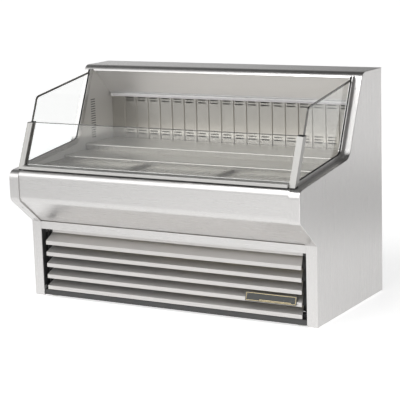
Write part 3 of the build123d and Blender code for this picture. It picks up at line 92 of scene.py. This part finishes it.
# ------------------------------------------------------------------ material kit
class Finish:
    """A Principled material whose patterns are fed by the object's own coordinates, in metres."""

    def __init__(self, name, colour, roughness, metallic=0.0):
        self.material = bpy.data.materials.new(name)
        self.material.use_nodes = True
        self.tree = self.material.node_tree
        self.shader = self.tree.nodes["Principled BSDF"]
        self.set("Base Color", (*colour, 1))
        self.set("Roughness", roughness)
        self.set("Metallic", metallic)
        self.where = self.add("ShaderNodeTexCoord").outputs["Object"]
        self.colour = None

    def add(self, kind, **settings):
        node = self.tree.nodes.new(kind)
        for key, value in settings.items():
            setattr(node, key, value)
        return node

    def join(self, source, target):
        self.tree.links.new(source, target)

    def set(self, socket, value):
        self.shader.inputs[socket].default_value = value

    def stretched(self, scale):
        node = self.add("ShaderNodeMapping")
        node.inputs["Scale"].default_value = scale
        self.join(self.where, node.inputs["Vector"])
        return node.outputs["Vector"]

    def noise(self, scale, detail=3.0, roughness=0.5):
        """Noise that runs through `scale` features a metre along each axis."""
        node = self.add("ShaderNodeTexNoise")
        node.inputs["Scale"].default_value = 1.0
        node.inputs["Detail"].default_value = detail
        node.inputs["Roughness"].default_value = roughness
        self.join(self.stretched(scale), node.inputs["Vector"])
        return node.outputs["Fac"]

    def cells(self, scale):
        node = self.add("ShaderNodeTexVoronoi", feature="F1")
        node.inputs["Scale"].default_value = 1.0
        self.join(self.stretched(scale), node.inputs["Vector"])
        return node.outputs["Color"]

    def spread(self, value, low, high, start=0.3, end=0.7):
        """Maps start..end of a pattern to low..high."""
        node = self.add("ShaderNodeMapRange")
        self.join(value, node.inputs["Value"])
        for key, number in (("From Min", start), ("From Max", end), ("To Min", low), ("To Max", high)):
            node.inputs[key].default_value = number
        return node.outputs["Result"]

    def combine(self, first, second, operation="ADD"):
        node = self.add("ShaderNodeMath", operation=operation)
        for index, item in enumerate((first, second)):
            if isinstance(item, (int, float)):
                node.inputs[index].default_value = item
            else:
                self.join(item, node.inputs[index])
        return node.outputs["Value"]

    def blend(self, factor, first, second):
        node = self.add("ShaderNodeMix", data_type="RGBA")
        self.join(factor, node.inputs["Factor"])
        for socket, item in ((node.inputs[6], first), (node.inputs[7], second)):
            if isinstance(item, tuple):
                socket.default_value = (*item, 1)
            else:
                self.join(item, socket)
        return node.outputs[2]

    def paint(self, colour):
        self.colour = colour
        self.join(colour, self.shader.inputs["Base Color"])

    def rough(self, value):
        self.join(value, self.shader.inputs["Roughness"])

    def bump(self, value, distance, strength=1.0):
        node = self.add("ShaderNodeBump")
        node.inputs["Distance"].default_value = distance
        node.inputs["Strength"].default_value = strength
        self.join(value, node.inputs["Height"])
        if self.shader.inputs["Normal"].is_linked:
            self.join(self.shader.inputs["Normal"].links[0].from_socket, node.inputs["Normal"])
        self.join(node.outputs["Normal"], self.shader.inputs["Normal"])

    def edge_highlight(self, colour, start=0.53, end=0.62):
        """Painted highlight: lightens the sharp convex edges of a dense enough mesh."""
        point = self.add("ShaderNodeNewGeometry").outputs["Pointiness"]
        return self.blend(self.spread(point, 0, 1, start, end), self.colour, colour)


def scaled(colour, factor):
    return tuple(min(1.0, channel * factor) for channel in colour)


ALONG = {"X": (1, 0, 0), "Y": (0, 1, 0), "Z": (0, 0, 1)}


def grain_scale(axis, along, across):
    return tuple(along if on else across for on in ALONG[axis])


def brushed(name, colour, low, high, axis="X", depth=0.00002, streak=0.022, metallic=1.0):
    """Brushed sheet: fine lines along one axis, soft wide streaks, handling marks."""
    f = Finish(name, colour, (low + high) / 2, metallic)
    fine = f.noise(grain_scale(axis, 5, 900), 2, 0.6)
    wide = f.noise(grain_scale(axis, 1.4, 260), 3, 0.6)
    cloud = f.noise((2.2, 2.2, 2.2), 3, 0.55)
    marks = f.noise((26, 26, 26), 5, 0.65)
    tone = f.combine(f.spread(wide, -streak, streak), f.spread(cloud, -0.6 * streak, 0.6 * streak))
    f.paint(f.blend(f.combine(tone, 0.5), scaled(colour, 0.80), scaled(colour, 1.2)))
    polish = f.combine(f.spread(fine, low, high), f.spread(marks, -0.01, 0.02, 0.35, 0.8))
    f.rough(f.combine(polish, f.spread(cloud, -0.01, 0.01)))
    f.bump(fine, depth)
    return f


def painted(name, colour, roughness, highlight_colour=None, peel=0.00006, coat=0.0):
    """Sprayed paint: orange peel, dust, and a painted highlight on its sharp edges where an edge colour is
    given.
    """
    f = Finish(name, colour, roughness)
    f.set("Coat Weight", coat)
    f.set("Coat Roughness", 0.12)
    dust = f.noise((9, 9, 9), 6, 0.65)
    f.paint(f.blend(f.spread(dust, 0, 1, 0.3, 0.75), colour, scaled(tuple(c + 0.01 for c in colour), 1.25)))
    if highlight_colour:
        f.paint(f.edge_highlight(highlight_colour))
    f.rough(f.spread(dust, roughness - 0.06, roughness + 0.12))
    f.bump(f.noise((420, 420, 420), 2), peel)
    return f


def zinc(name, colour, roughness=0.42):
    """Galvanised or plated sheet with its crystal spangle."""
    f = Finish(name, colour, roughness, 0.85)
    spangle = f.cells((95, 95, 95))
    split = f.add("ShaderNodeSeparateColor")
    f.join(spangle, split.inputs["Color"])
    stain = f.noise((5, 5, 5), 5, 0.6)
    tone = f.combine(f.spread(split.outputs["Red"], -0.22, 0.22, 0, 1), f.spread(stain, 0.38, 0.62))
    f.paint(f.blend(tone, scaled(colour, 0.78), scaled(colour, 1.12)))
    f.rough(f.spread(split.outputs["Green"], roughness - 0.1, roughness + 0.12, 0, 1))
    f.bump(f.noise((300, 300, 300), 2), 0.00003)
    return f


def moulded(name, colour, roughness, grain=700.0, depth=0.00005):
    """Moulded plastic or rubber with a fine surface grain and rubbed highlights."""
    f = Finish(name, colour, roughness)
    dust = f.noise((14, 14, 14), 5, 0.6)
    f.paint(f.blend(f.spread(dust, 0, 1), colour, scaled(tuple(c + 0.012 for c in colour), 1.2)))
    f.rough(f.spread(dust, roughness - 0.07, roughness + 0.1))
    f.bump(f.noise((grain, grain, grain), 2), depth)
    return f


STAINLESS = (0.62, 0.61, 0.602)
# The liner colour is the stainless painted darker and warmer: painted shade inside the cabinet and a painted
# reflection of the products on show.
PAINTED_SHADE_LINER = (0.50, 0.485, 0.455)

finishes = {
    "stainless": brushed("stainless", STAINLESS, 0.24, 0.36),
    "stainless_upright": brushed("stainless_upright", STAINLESS, 0.24, 0.36, "Z"),
    "liner_steel": brushed("liner_steel", PAINTED_SHADE_LINER, 0.30, 0.44),
    "liner_upright": brushed("liner_upright", PAINTED_SHADE_LINER, 0.30, 0.44, "Z"),
    "galvanised": zinc("galvanised", (0.585, 0.59, 0.59)),
    # the black paint's last colour is a painted highlight along its sharp edges
    "black_paint": painted("black_paint", (0.006, 0.006, 0.007), 0.5, (0.05, 0.05, 0.05)),
    "white_aluminium": brushed("white_aluminium", (0.46, 0.455, 0.44), 0.46, 0.58, "Z", streak=0.06),
    "rail_aluminium": brushed("rail_aluminium", (0.52, 0.515, 0.50), 0.40, 0.52, "X", streak=0.06),
    # header_sheet is a lighter copy of the stainless: painted light for what its face catches from the lit
    # deck under the lamp
    "header_sheet": brushed("header_sheet", (0.74, 0.735, 0.735), 0.40, 0.50, "X", metallic=0.75),
    "blade_sheet": brushed("blade_sheet", (0.60, 0.585, 0.57), 0.36, 0.46, "X", metallic=0.8),
    "end_liner": brushed("end_liner", (0.70, 0.69, 0.67), 0.40, 0.50, "Z", metallic=0.55),
    "white_enamel": painted("white_enamel", (0.80, 0.80, 0.79), 0.28, peel=0.00003, coat=0.4),
    "black_rubber": moulded("black_rubber", (0.012, 0.012, 0.012), 0.62),
    "fin_aluminium": brushed("fin_aluminium", (0.70, 0.71, 0.72), 0.3, 0.5, "Z"),
    "copper": brushed("copper", (0.72, 0.36, 0.22), 0.25, 0.45, "Z", streak=0.16),
    "fan_plastic": moulded("fan_plastic", (0.018, 0.018, 0.02), 0.42),
    "knob_plastic": moulded("knob_plastic", (0.022, 0.022, 0.022), 0.38),
    "badge_plastic": moulded("badge_plastic", (0.016, 0.018, 0.016), 0.2, 260.0, 0.00002),
    "zinc_screw": zinc("zinc_screw", (0.55, 0.55, 0.54), 0.3),
    "zinc_steel": zinc("zinc_steel", (0.60, 0.60, 0.57), 0.34),
    "foam": moulded("foam", (0.72, 0.62, 0.36), 0.85, 240.0, 0.0004),
    "gold_line": brushed("gold_line", (0.75, 0.62, 0.36), 0.25, 0.4, "X"),
}


def glass_finish():
    """Toughened plate: clear faces with light smears; its dark edges are painted shade on separate strips."""
    f = Finish("clear_glass", (0.985, 0.993, 0.988), 0.0)
    f.set("IOR", 1.35)
    smear = f.noise((7, 7, 7), 5, 0.7)
    f.rough(f.spread(smear, 0.0, 0.02, 0.5, 0.9))
    f.paint(f.blend(f.spread(smear, 0, 1, 0.4, 0.8), (0.988, 0.995, 0.991), (0.975, 0.985, 0.98)))
    f.set("Transmission Weight", 1.0)
    return f


def glass_edge_painted_shade():
    """Painted shade for the ground and polished glass edge seen end on: opaque dark grey-brown with paler
    nicks.
    """
    f = Finish("glass_edge", (0.05, 0.045, 0.038), 0.16)
    nick = f.noise((160, 160, 160), 4, 0.7)
    f.paint(f.blend(f.spread(nick, 0, 1, 0.45, 0.8), (0.035, 0.033, 0.028), (0.13, 0.125, 0.11)))
    f.rough(f.spread(nick, 0.1, 0.3))
    f.set("Coat Weight", 0.6)
    f.set("Coat Roughness", 0.06)
    return f


def lamp_finish():
    """Opal cover over a tube: its glow and colour vary softly along it in a noise pattern."""
    f = Finish("lamp_lens", (0.5, 0.49, 0.52), 0.35)
    glow = f.noise((3, 40, 40), 2)
    f.paint(f.blend(f.spread(glow, 0, 1), (0.46, 0.45, 0.49), (0.54, 0.53, 0.56)))
    f.set("Emission Color", (1.0, 0.965, 0.90, 1))
    f.join(f.spread(glow, 0.10, 0.16), f.shader.inputs["Emission Strength"])
    f.bump(f.noise((500, 500, 500), 2), 0.00003)
    return f


finishes["clear_glass"] = glass_finish()
finishes["glass_edge"] = glass_edge_painted_shade()
finishes["lamp_lens"] = lamp_finish()

OWN_FINISH = {
    "right_end_shell": "stainless_upright",
    "left_end_shell": "stainless_upright",
    "left_end_liner": "end_liner",
    "right_end_liner": "end_liner",
    "rear_duct_panel": "liner_upright",
    "glass_rail": "rail_aluminium",
    "header_panel": "header_sheet",
    "louvre_grille": "blade_sheet",
    "leg_covers": "stainless_upright",
    "left_end_core": "black_rubber",
    "right_end_core": "black_rubber",
}


def dress(piece, finish):
    piece.data.materials.clear()
    piece.data.materials.append(finishes[finish].material)


for part in frame["record"]["subparts"]:
    dress(nodes[part["node"]], OWN_FINISH.get(part["node"], part["material_slot"]))


# ------------------------------------------------------------------ piece kit
MM = 0.001
WELD = 1e-6
BEVEL_SEGMENTS = 2
SMOOTH_ANGLE = math.radians(38)


def mesh_piece(name, build, finish, body, bevel=0.0):
    """Makes a mesh with build(bm), rounds its edges, gives it a finish and lets it ride on a body."""
    bm = bmesh.new()
    build(bm)
    bmesh.ops.remove_doubles(bm, verts=bm.verts, dist=WELD)
    bmesh.ops.recalc_face_normals(bm, faces=bm.faces)
    if bevel:
        sharp = [e for e in bm.edges if len(e.link_faces) == 2 and e.calc_face_angle(0) > SMOOTH_ANGLE]
        bmesh.ops.bevel(
            bm, geom=sharp, offset=bevel, segments=BEVEL_SEGMENTS, affect="EDGES", clamp_overlap=True
        )
    mesh = bpy.data.meshes.new(name)
    bm.to_mesh(mesh)
    bm.free()
    mesh.polygons.foreach_set("use_smooth", [True] * len(mesh.polygons))
    mesh.set_sharp_from_angle(angle=SMOOTH_ANGLE)
    piece = bpy.data.objects.new(name, mesh)
    bpy.context.scene.collection.objects.link(piece)
    piece.data.materials.append(finishes[finish].material)
    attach(piece, body)
    return piece


def loft(bm, rings):
    """Closed solid through rings of the same number of points."""
    made = [[bm.verts.new(point) for point in ring] for ring in rings]
    bm.faces.new(made[0])
    bm.faces.new(list(reversed(made[-1])))
    count = len(rings[0])
    for lower, upper in zip(made, made[1:]):
        for k in range(count):
            bm.faces.new((lower[k], lower[k - 1], upper[k - 1], upper[k]))


def prism(bm, outline, x_low, x_high):
    """Solid along X from an outline of (y, z) points, all in metres."""
    loft(bm, [[(x, y, z) for y, z in outline] for x in (x_low, x_high)])


def unit(y, z):
    length = math.hypot(y, z)
    return y / length, z / length


# ------------------------------------------------------------------ glass edges in painted shade, clips, caps and pads
LEAN = 0.432
GLASS_FRONT = (-399.0 * MM, 654.0 * MM)  # a point of the side glass's leaning front edge
GLASS_BEND = (-259.0 * MM, 983.0 * MM)
TOP_SLOPE = 0.155
BEND_RADIUS = 38.0 * MM
POST_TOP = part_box("right_front_post")[1].z
glass_low, glass_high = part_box("right_side_glass")
EDGE_PROUD = 0.4 * MM
EDGE_SIDE = 0.15 * MM  # how far an edge strip stands out past each face of its glass
EDGE_FOOT_GAP = 1.5 * MM
EDGE_TOP_GAP = 1.0 * MM
EDGE_SHIFT = 1.6 * MM
BEND_STEPS = 12
EDGE_DEPTH = 8.0 * MM


def glass_edge_path():
    """Front and top edge of a side glass as (y, z, inward y, inward z), from the post's top to the upright."""
    up = unit(LEAN, 1)
    along = unit(1, TOP_SLOPE)
    into_front, into_top = (up[1], -up[0]), (along[1], -along[0])
    turn = math.atan2(up[1], up[0]) - math.atan2(along[1], along[0])
    reach = BEND_RADIUS * math.tan(turn / 2)
    start = (GLASS_BEND[0] - up[0] * reach, GLASS_BEND[1] - up[1] * reach)
    centre = (start[0] + into_front[0] * BEND_RADIUS, start[1] + into_front[1] * BEND_RADIUS)
    foot_z = POST_TOP + EDGE_FOOT_GAP
    foot_y = GLASS_FRONT[0] + LEAN * (foot_z - GLASS_FRONT[1])
    path = [(foot_y, foot_z, *into_front), (start[0] + EDGE_SHIFT, start[1], *into_front)]
    first = math.atan2(-into_front[1], -into_front[0])
    for k in range(1, BEND_STEPS + 1):
        angle = first - turn * k / BEND_STEPS
        out_y, out_z = math.cos(angle), math.sin(angle)
        path.append((centre[0] + BEND_RADIUS * out_y, centre[1] + BEND_RADIUS * out_z, -out_y, -out_z))
    end_y = glass_high.y - EDGE_TOP_GAP
    path.append((end_y, GLASS_BEND[1] + TOP_SLOPE * (end_y - GLASS_BEND[0]), *into_top))
    return path


edge_path = glass_edge_path()


def edge_strip(side):
    def build(bm):
        outer = [(y - EDGE_PROUD * ny, z - EDGE_PROUD * nz) for y, z, ny, nz in edge_path]
        inner = [(y + EDGE_DEPTH * ny, z + EDGE_DEPTH * nz) for y, z, ny, nz in edge_path]
        x_low, x_high = side * (glass_low.x - EDGE_SIDE), side * (glass_high.x + EDGE_SIDE)
        rings = [
            [(x_low, *a), (x_high, *a), (x_high, *b), (x_low, *b)]
            for a, b in zip(outer, inner)
        ]
        loft(bm, rings)

    return build


# along the glass's top edge: reach, half width and how much the ends are rounded down, in mm
CLIP_STATIONS = ((-15, 5.2, 1.2), (-13, 6.2, 0), (2, 6.2, 0), (5, 5.0, 2.2))
# across it: share of the half width, and depth below the edge in mm
CLIP_SECTION = ((-1, 11), (-1, -1.6), (-0.72, -2.6), (0.72, -2.6), (1, -1.6), (1, 11))
CLIP_HALF = 6.2
CLIP_SCREW_BACK = 5.0
CLIP_SCREW_STATIONS = ((0, 2.6), (1.0, 2.6), (1.6, 1.9))  # lift and radius in mm
CLIP_SCREW_SIDES = 14


def glass_clip(side):
    """Saddle of bright metal that holds the glass's top rear corner to the upright."""
    y, z = edge_path[-1][:2]

    def build(bm):
        along, into = unit(1, TOP_SLOPE), unit(TOP_SLOPE, -1)
        middle = side * (glass_low.x + glass_high.x) / 2
        profile = []
        for reach, half, drop in CLIP_STATIONS:
            profile.append((reach * MM, half * MM, drop * MM))
        rings = []
        for reach, half, drop in profile:
            ring = []
            for across, depth in CLIP_SECTION:
                deep = depth * MM + (drop if depth < 0 else -drop)
                place_y = y + along[0] * reach + into[0] * deep
                place_z = z + along[1] * reach + into[1] * deep
                ring.append((middle + across * half, place_y, place_z))
            rings.append(ring)
        loft(bm, rings)
        # screw head on the outer cheek
        back = CLIP_SCREW_BACK * MM
        screw_y, screw_z = y - back + into[0] * back, z - back * TOP_SLOPE + into[1] * back
        rings = []
        for lift, radius in CLIP_SCREW_STATIONS:
            x = middle + side * (CLIP_HALF + lift) * MM
            rings.append(
                [
                    (x, screw_y + radius * MM * math.cos(a), screw_z + radius * MM * math.sin(a))
                    for a in (math.tau * n / CLIP_SCREW_SIDES for n in range(CLIP_SCREW_SIDES))
                ]
            )
        loft(bm, rings)

    return build


post_low, post_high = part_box("right_front_post")
CAP_THICKNESS = 3.2 * MM
CAP_TILT = math.tan(math.radians(5))


def post_cap(side):
    """Black moulded cap on a leaning post, hooked over its front."""

    def build(bm):
        rings = []
        for lift, inset in ((0, 0.0), (0.7, 0.0), (1.0, 0.25)):
            ring = []
            for x in (post_low.x, post_high.x):
                z = post_high.z - (x - post_low.x) * CAP_TILT + lift * CAP_THICKNESS
                front = GLASS_FRONT[0] - 22 * MM + LEAN * (z - GLASS_FRONT[1])
                inward = inset * 4 * MM * (1 if x == post_low.x else -1)
                sides = (front - 0.4 * MM + inset * 4 * MM, front + 30 * MM - inset * 4 * MM)
                ring += [(side * (x + inward), y, z) for y in (sides if x == post_low.x else sides[::-1])]
            rings.append(ring)
        loft(bm, rings)

    return build


LEDGE_SLOPE = 63.0 / 522.0  # rise of the ledge from the belly's top edge to the upright
LEDGE_START = (-450.0 * MM, 647.0 * MM)


def ledge(y):
    return LEDGE_START[1] + LEDGE_SLOPE * (y - LEDGE_START[0])


def post_pad(side):
    """Rubber pad between a post's foot and the ledge."""
    front, rear = post_low.y + 1.5 * MM, post_low.y + 34 * MM

    def build(bm):
        outline = [
            (front, ledge(front) + 0.6 * MM),
            (rear, ledge(rear) + 0.6 * MM),
            (rear, ledge(rear) + 4.7 * MM),
            (front, ledge(front) + 4.7 * MM),
        ]
        prism(bm, outline, side * (post_low.x + 1.2 * MM), side * (post_high.x - 1.2 * MM))

    return build


for side, name in ((-1, "left"), (1, "right")):
    # opaque dark strips over the side glasses' edges: painted shade
    mesh_piece(f"{name}_glass_edge", edge_strip(side), "glass_edge", "cabinet", 0.5 * MM)
    mesh_piece(f"{name}_glass_clip", glass_clip(side), "zinc_screw", "cabinet", 0.3 * MM)
    mesh_piece(f"{name}_post_cap", post_cap(side), "black_rubber", "cabinet", 0.4 * MM)
    mesh_piece(f"{name}_post_pad", post_pad(side), "black_rubber", "cabinet", 0.5 * MM)

front_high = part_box("front_glass")[1]


def front_edge(bm):
    """Polished top edge of the front glass, between the posts, as an opaque strip in painted shade."""
    y, z = front_high.y - 6.4 * MM, front_high.z - 2.6 * MM
    back = y + 6.4 * MM
    top = z + 2.9 * MM
    outline = [(y - 0.25 * MM, z), (y + 1.3 * MM, top), (back + 0.25 * MM, top), (back - 1.0 * MM, z)]
    prism(bm, outline, -(post_low.x + 1 * MM), post_low.x + 1 * MM)


mesh_piece("front_glass_edge", front_edge, "glass_edge", "cabinet", 0.3 * MM)

# ------------------------------------------------------------------ grille ends and badge rim
TOE_Y = -285.0 * MM
TOP_LIP_Z = 280.0 * MM
PITCH = 55.75 * MM
LIP = 18.0 * MM
grille_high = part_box("louvre_grille")[1]


def blade_ends(side):
    """Folded-in end faces that close the five blades."""

    def build(bm):
        for blade in range(5):
            z = TOP_LIP_Z - blade * PITCH
            depth, rise = (40 * MM, 35 * MM) if blade == 0 else (46 * MM, 31 * MM)
            outline = [
                (TOE_Y + 1.4 * MM, z - LIP + 0.8 * MM),
                (TOE_Y + 1.4 * MM, z - 1.4 * MM),
                (TOE_Y + depth, z + rise - 2.2 * MM),
                (TOE_Y + depth * 0.72, z + rise * 0.2),
            ]
            rings = []
            for inset in (0.5 * MM, 1.7 * MM):
                ring = []
                for y, height in outline:
                    mitre = max(0.0, y - TOE_Y - 3 * MM) * 15.0 / 48.0
                    ring.append((side * (grille_high.x - inset - mitre), y, height))
                rings.append(ring)
            loft(bm, rings)

    return build


for side, name in ((-1, "left"), (1, "right")):
    mesh_piece(f"{name}_blade_ends", blade_ends(side), "blade_sheet", "grille", 0.2 * MM)

badge_low, badge_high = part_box("nameplate")
BADGE_TILT = math.radians(20)
BADGE_HEIGHT = 42.0 * MM
BORDER_INSET = 3.6 * MM
BORDER_WIDTH = 1.3 * MM


def badge_frame(bm):
    """Raised pale gold border round the blank plate, with one plain rule across it."""
    width = badge_high.x - badge_low.x
    height = BADGE_HEIGHT
    middle = (badge_low.x + badge_high.x) / 2
    out = Vector((0, -math.cos(BADGE_TILT), math.sin(BADGE_TILT)))
    up = Vector((0, math.sin(BADGE_TILT), math.cos(BADGE_TILT)))
    # the plate's lower front edge, from its box
    lower = Vector((middle, badge_low.y, badge_low.z + 2.0 * MM * math.sin(BADGE_TILT)))

    def corner_ring(half_width, low, high, radius, lift):
        ring = []
        for cx, cz, start in (
            (half_width - radius, high - radius, 0),
            (-half_width + radius, high - radius, 90),
            (-half_width + radius, low + radius, 180),
            (half_width - radius, low + radius, 270),
        ):
            for k in range(5):
                a = math.radians(start + 22.5 * k)
                along = Vector((1, 0, 0)) * (cx + radius * math.cos(a))
                ring.append(lower + along + up * (cz + radius * math.sin(a)) + out * lift)
        return ring

    def band(inset, thickness, low_lift, high_lift):
        rings = []
        for grow, lift in ((0, low_lift), (0, high_lift), (thickness, high_lift), (thickness, low_lift)):
            half = width / 2 - inset - grow
            radius = max(0.8 * MM, 2.6 * MM - grow)
            rings.append(corner_ring(half, inset + grow, height - inset - grow, radius, lift))
        made = [[bm.verts.new(p) for p in ring] for ring in rings]
        for first, second in zip(made, made[1:] + made[:1]):
            for k in range(len(first)):
                bm.faces.new((first[k], first[k - 1], second[k - 1], second[k]))

    band(BORDER_INSET, BORDER_WIDTH, -0.5 * MM, 0.15 * MM)
    # plain rule, right of the middle
    z0, z1 = height * 0.2, height * 0.235
    rings = []
    for lift in (-0.5 * MM, 0.1 * MM):
        rings.append(
            [
                lower + Vector((1, 0, 0)) * (u * width) + up * v + out * lift
                for u, v in ((-0.22, z0), (0.40, z0), (0.40, z1), (-0.22, z1))
            ]
        )
    loft(bm, rings)


mesh_piece("badge_rim", badge_frame, "gold_line", "grille")

# ------------------------------------------------------------------ studio
def area_light(name, place, aim, size, power, colour=(1, 1, 1)):
    data = bpy.data.lights.new(name, "AREA")
    data.shape = "RECTANGLE"
    data.size, data.size_y = size
    data.energy = power
    data.color = colour
    lamp = bpy.data.objects.new(name, data)
    bpy.context.scene.collection.objects.link(lamp)
    lamp.location = place
    lamp.rotation_euler = (Vector(aim) - Vector(place)).to_track_quat("-Z", "Y").to_euler()
    lamp.visible_camera = False
    lamp.visible_transmission = False
    return lamp


def floor_finish():
    """Pale paper floor, lit evenly where the case stands and falling off to both sides."""
    f = Finish("pale_floor", (0.82, 0.82, 0.82), 0.7)
    grain = f.noise((260, 260, 260), 3)
    f.paint(f.blend(f.spread(grain, 0, 1), (0.80, 0.80, 0.80), (0.84, 0.84, 0.84)))
    glow = None
    for centre, inner, outer, least in DIM_PATCHES:
        away = f.add("ShaderNodeVectorMath", operation="DISTANCE")
        f.join(f.where, away.inputs[0])
        away.inputs[1].default_value = centre
        patch = f.spread(away.outputs["Value"], least, 1.0, inner, outer)
        glow = patch if glow is None else f.combine(glow, patch, "MULTIPLY")
    f.set("Emission Color", (1, 1, 1, 1))
    f.join(f.combine(glow, FLOOR_GLOW, "MULTIPLY"), f.shader.inputs["Emission Strength"])
    return f.material


# places where the studio floor is lit less: centre, inner and outer radius, least light
DIM_PATCHES = (
    ((-3.6, -3.2, 0), 0.8, 2.9, 0.35),
    ((2.3, 2.6, 0), 0.7, 1.8, 0.35),
)
FLOOR_GLOW = 0.66
FLOOR_HALF = 30.0
bm = bmesh.new()
bmesh.ops.create_grid(bm, x_segments=12, y_segments=12, size=FLOOR_HALF)
floor_mesh = bpy.data.meshes.new("floor")
bm.to_mesh(floor_mesh)
bm.free()
floor = bpy.data.objects.new("floor", floor_mesh)
floor.location = (0, 0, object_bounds()[0][2] - 0.0005)
bpy.context.scene.collection.objects.link(floor)
floor.data.materials.append(floor_finish())


class Sky:
    """The studio round the case: pale horizon, dim ceiling, soft boxes as smooth blobs."""

    def __init__(self):
        self.world = bpy.data.worlds.new("studio")
        self.world.use_nodes = True
        self.tree = self.world.node_tree
        self.split = self.tree.nodes.new("ShaderNodeSeparateXYZ")
        self.way = self.tree.nodes.new("ShaderNodeTexCoord").outputs["Generated"]
        self.tree.links.new(self.way, self.split.inputs["Vector"])

    def math(self, operation, *items):
        node = self.tree.nodes.new("ShaderNodeMath")
        node.operation = operation
        for index, item in enumerate(items):
            if isinstance(item, (int, float)):
                node.inputs[index].default_value = item
            else:
                self.tree.links.new(item, node.inputs[index])
        return node.outputs["Value"]

    def ramp(self, value, start, end, low, high):
        node = self.tree.nodes.new("ShaderNodeMapRange")
        node.interpolation_type = "SMOOTHSTEP"
        self.tree.links.new(value, node.inputs["Value"])
        for key, number in (("From Min", start), ("From Max", end), ("To Min", low), ("To Max", high)):
            node.inputs[key].default_value = number
        return node.outputs["Result"]

    def blob(self, azimuth, elevation, inner, outer, strength):
        """Soft box centred on a direction; azimuth from +Y towards +X, all in degrees."""
        a, e = math.radians(azimuth), math.radians(elevation)
        node = self.tree.nodes.new("ShaderNodeVectorMath")
        node.operation = "DOT_PRODUCT"
        self.tree.links.new(self.way, node.inputs[0])
        node.inputs[1].default_value = (math.sin(a) * math.cos(e), math.cos(a) * math.cos(e), math.sin(e))
        edge, core = math.cos(math.radians(outer)), math.cos(math.radians(inner))
        return self.ramp(node.outputs["Value"], edge, core, 0, strength)


sky = Sky()
x, y, z = (sky.split.outputs[axis] for axis in "XYZ")
horizon = sky.ramp(x, -0.62, -0.30, 0.85, 0.30)
ceiling = sky.ramp(z, 0.25, 0.75, 1.0, 0.15)
above = sky.math("MULTIPLY", horizon, ceiling)
for blob in (
    (-160, 36, 12, 34, 1.75),
    (-112, 22, 10, 40, 0.5),
    (80, 35, 15, 45, 0.25),
):
    above = sky.math("ADD", above, sky.blob(*blob))
below = sky.ramp(z, -0.02, 0.02, 1.0, 0.0)
total = sky.math("MAXIMUM", above, below)
backdrop = sky.tree.nodes["Background"]
backdrop.inputs["Color"].default_value = (1.0, 1.0, 1.0, 1)
sky.tree.links.new(total, backdrop.inputs["Strength"])
bpy.context.scene.world = sky.world

area_light("top_light", (-0.4, -1.6, 3.4), (0, 0.2, 0.6), (1.6, 1.0), 20)
area_light("side_light", (1.9, -1.1, 0.7), (0.765, -0.35, 0.55), (0.9, 1.1), 6)
area_light("shelf_light", (0, 0.27, 0.72), (0, 0.27, 2.0), (1.35, 0.2), 0.6, (1.0, 0.97, 0.92))
bpy.context.scene.view_settings.view_transform = "Standard"
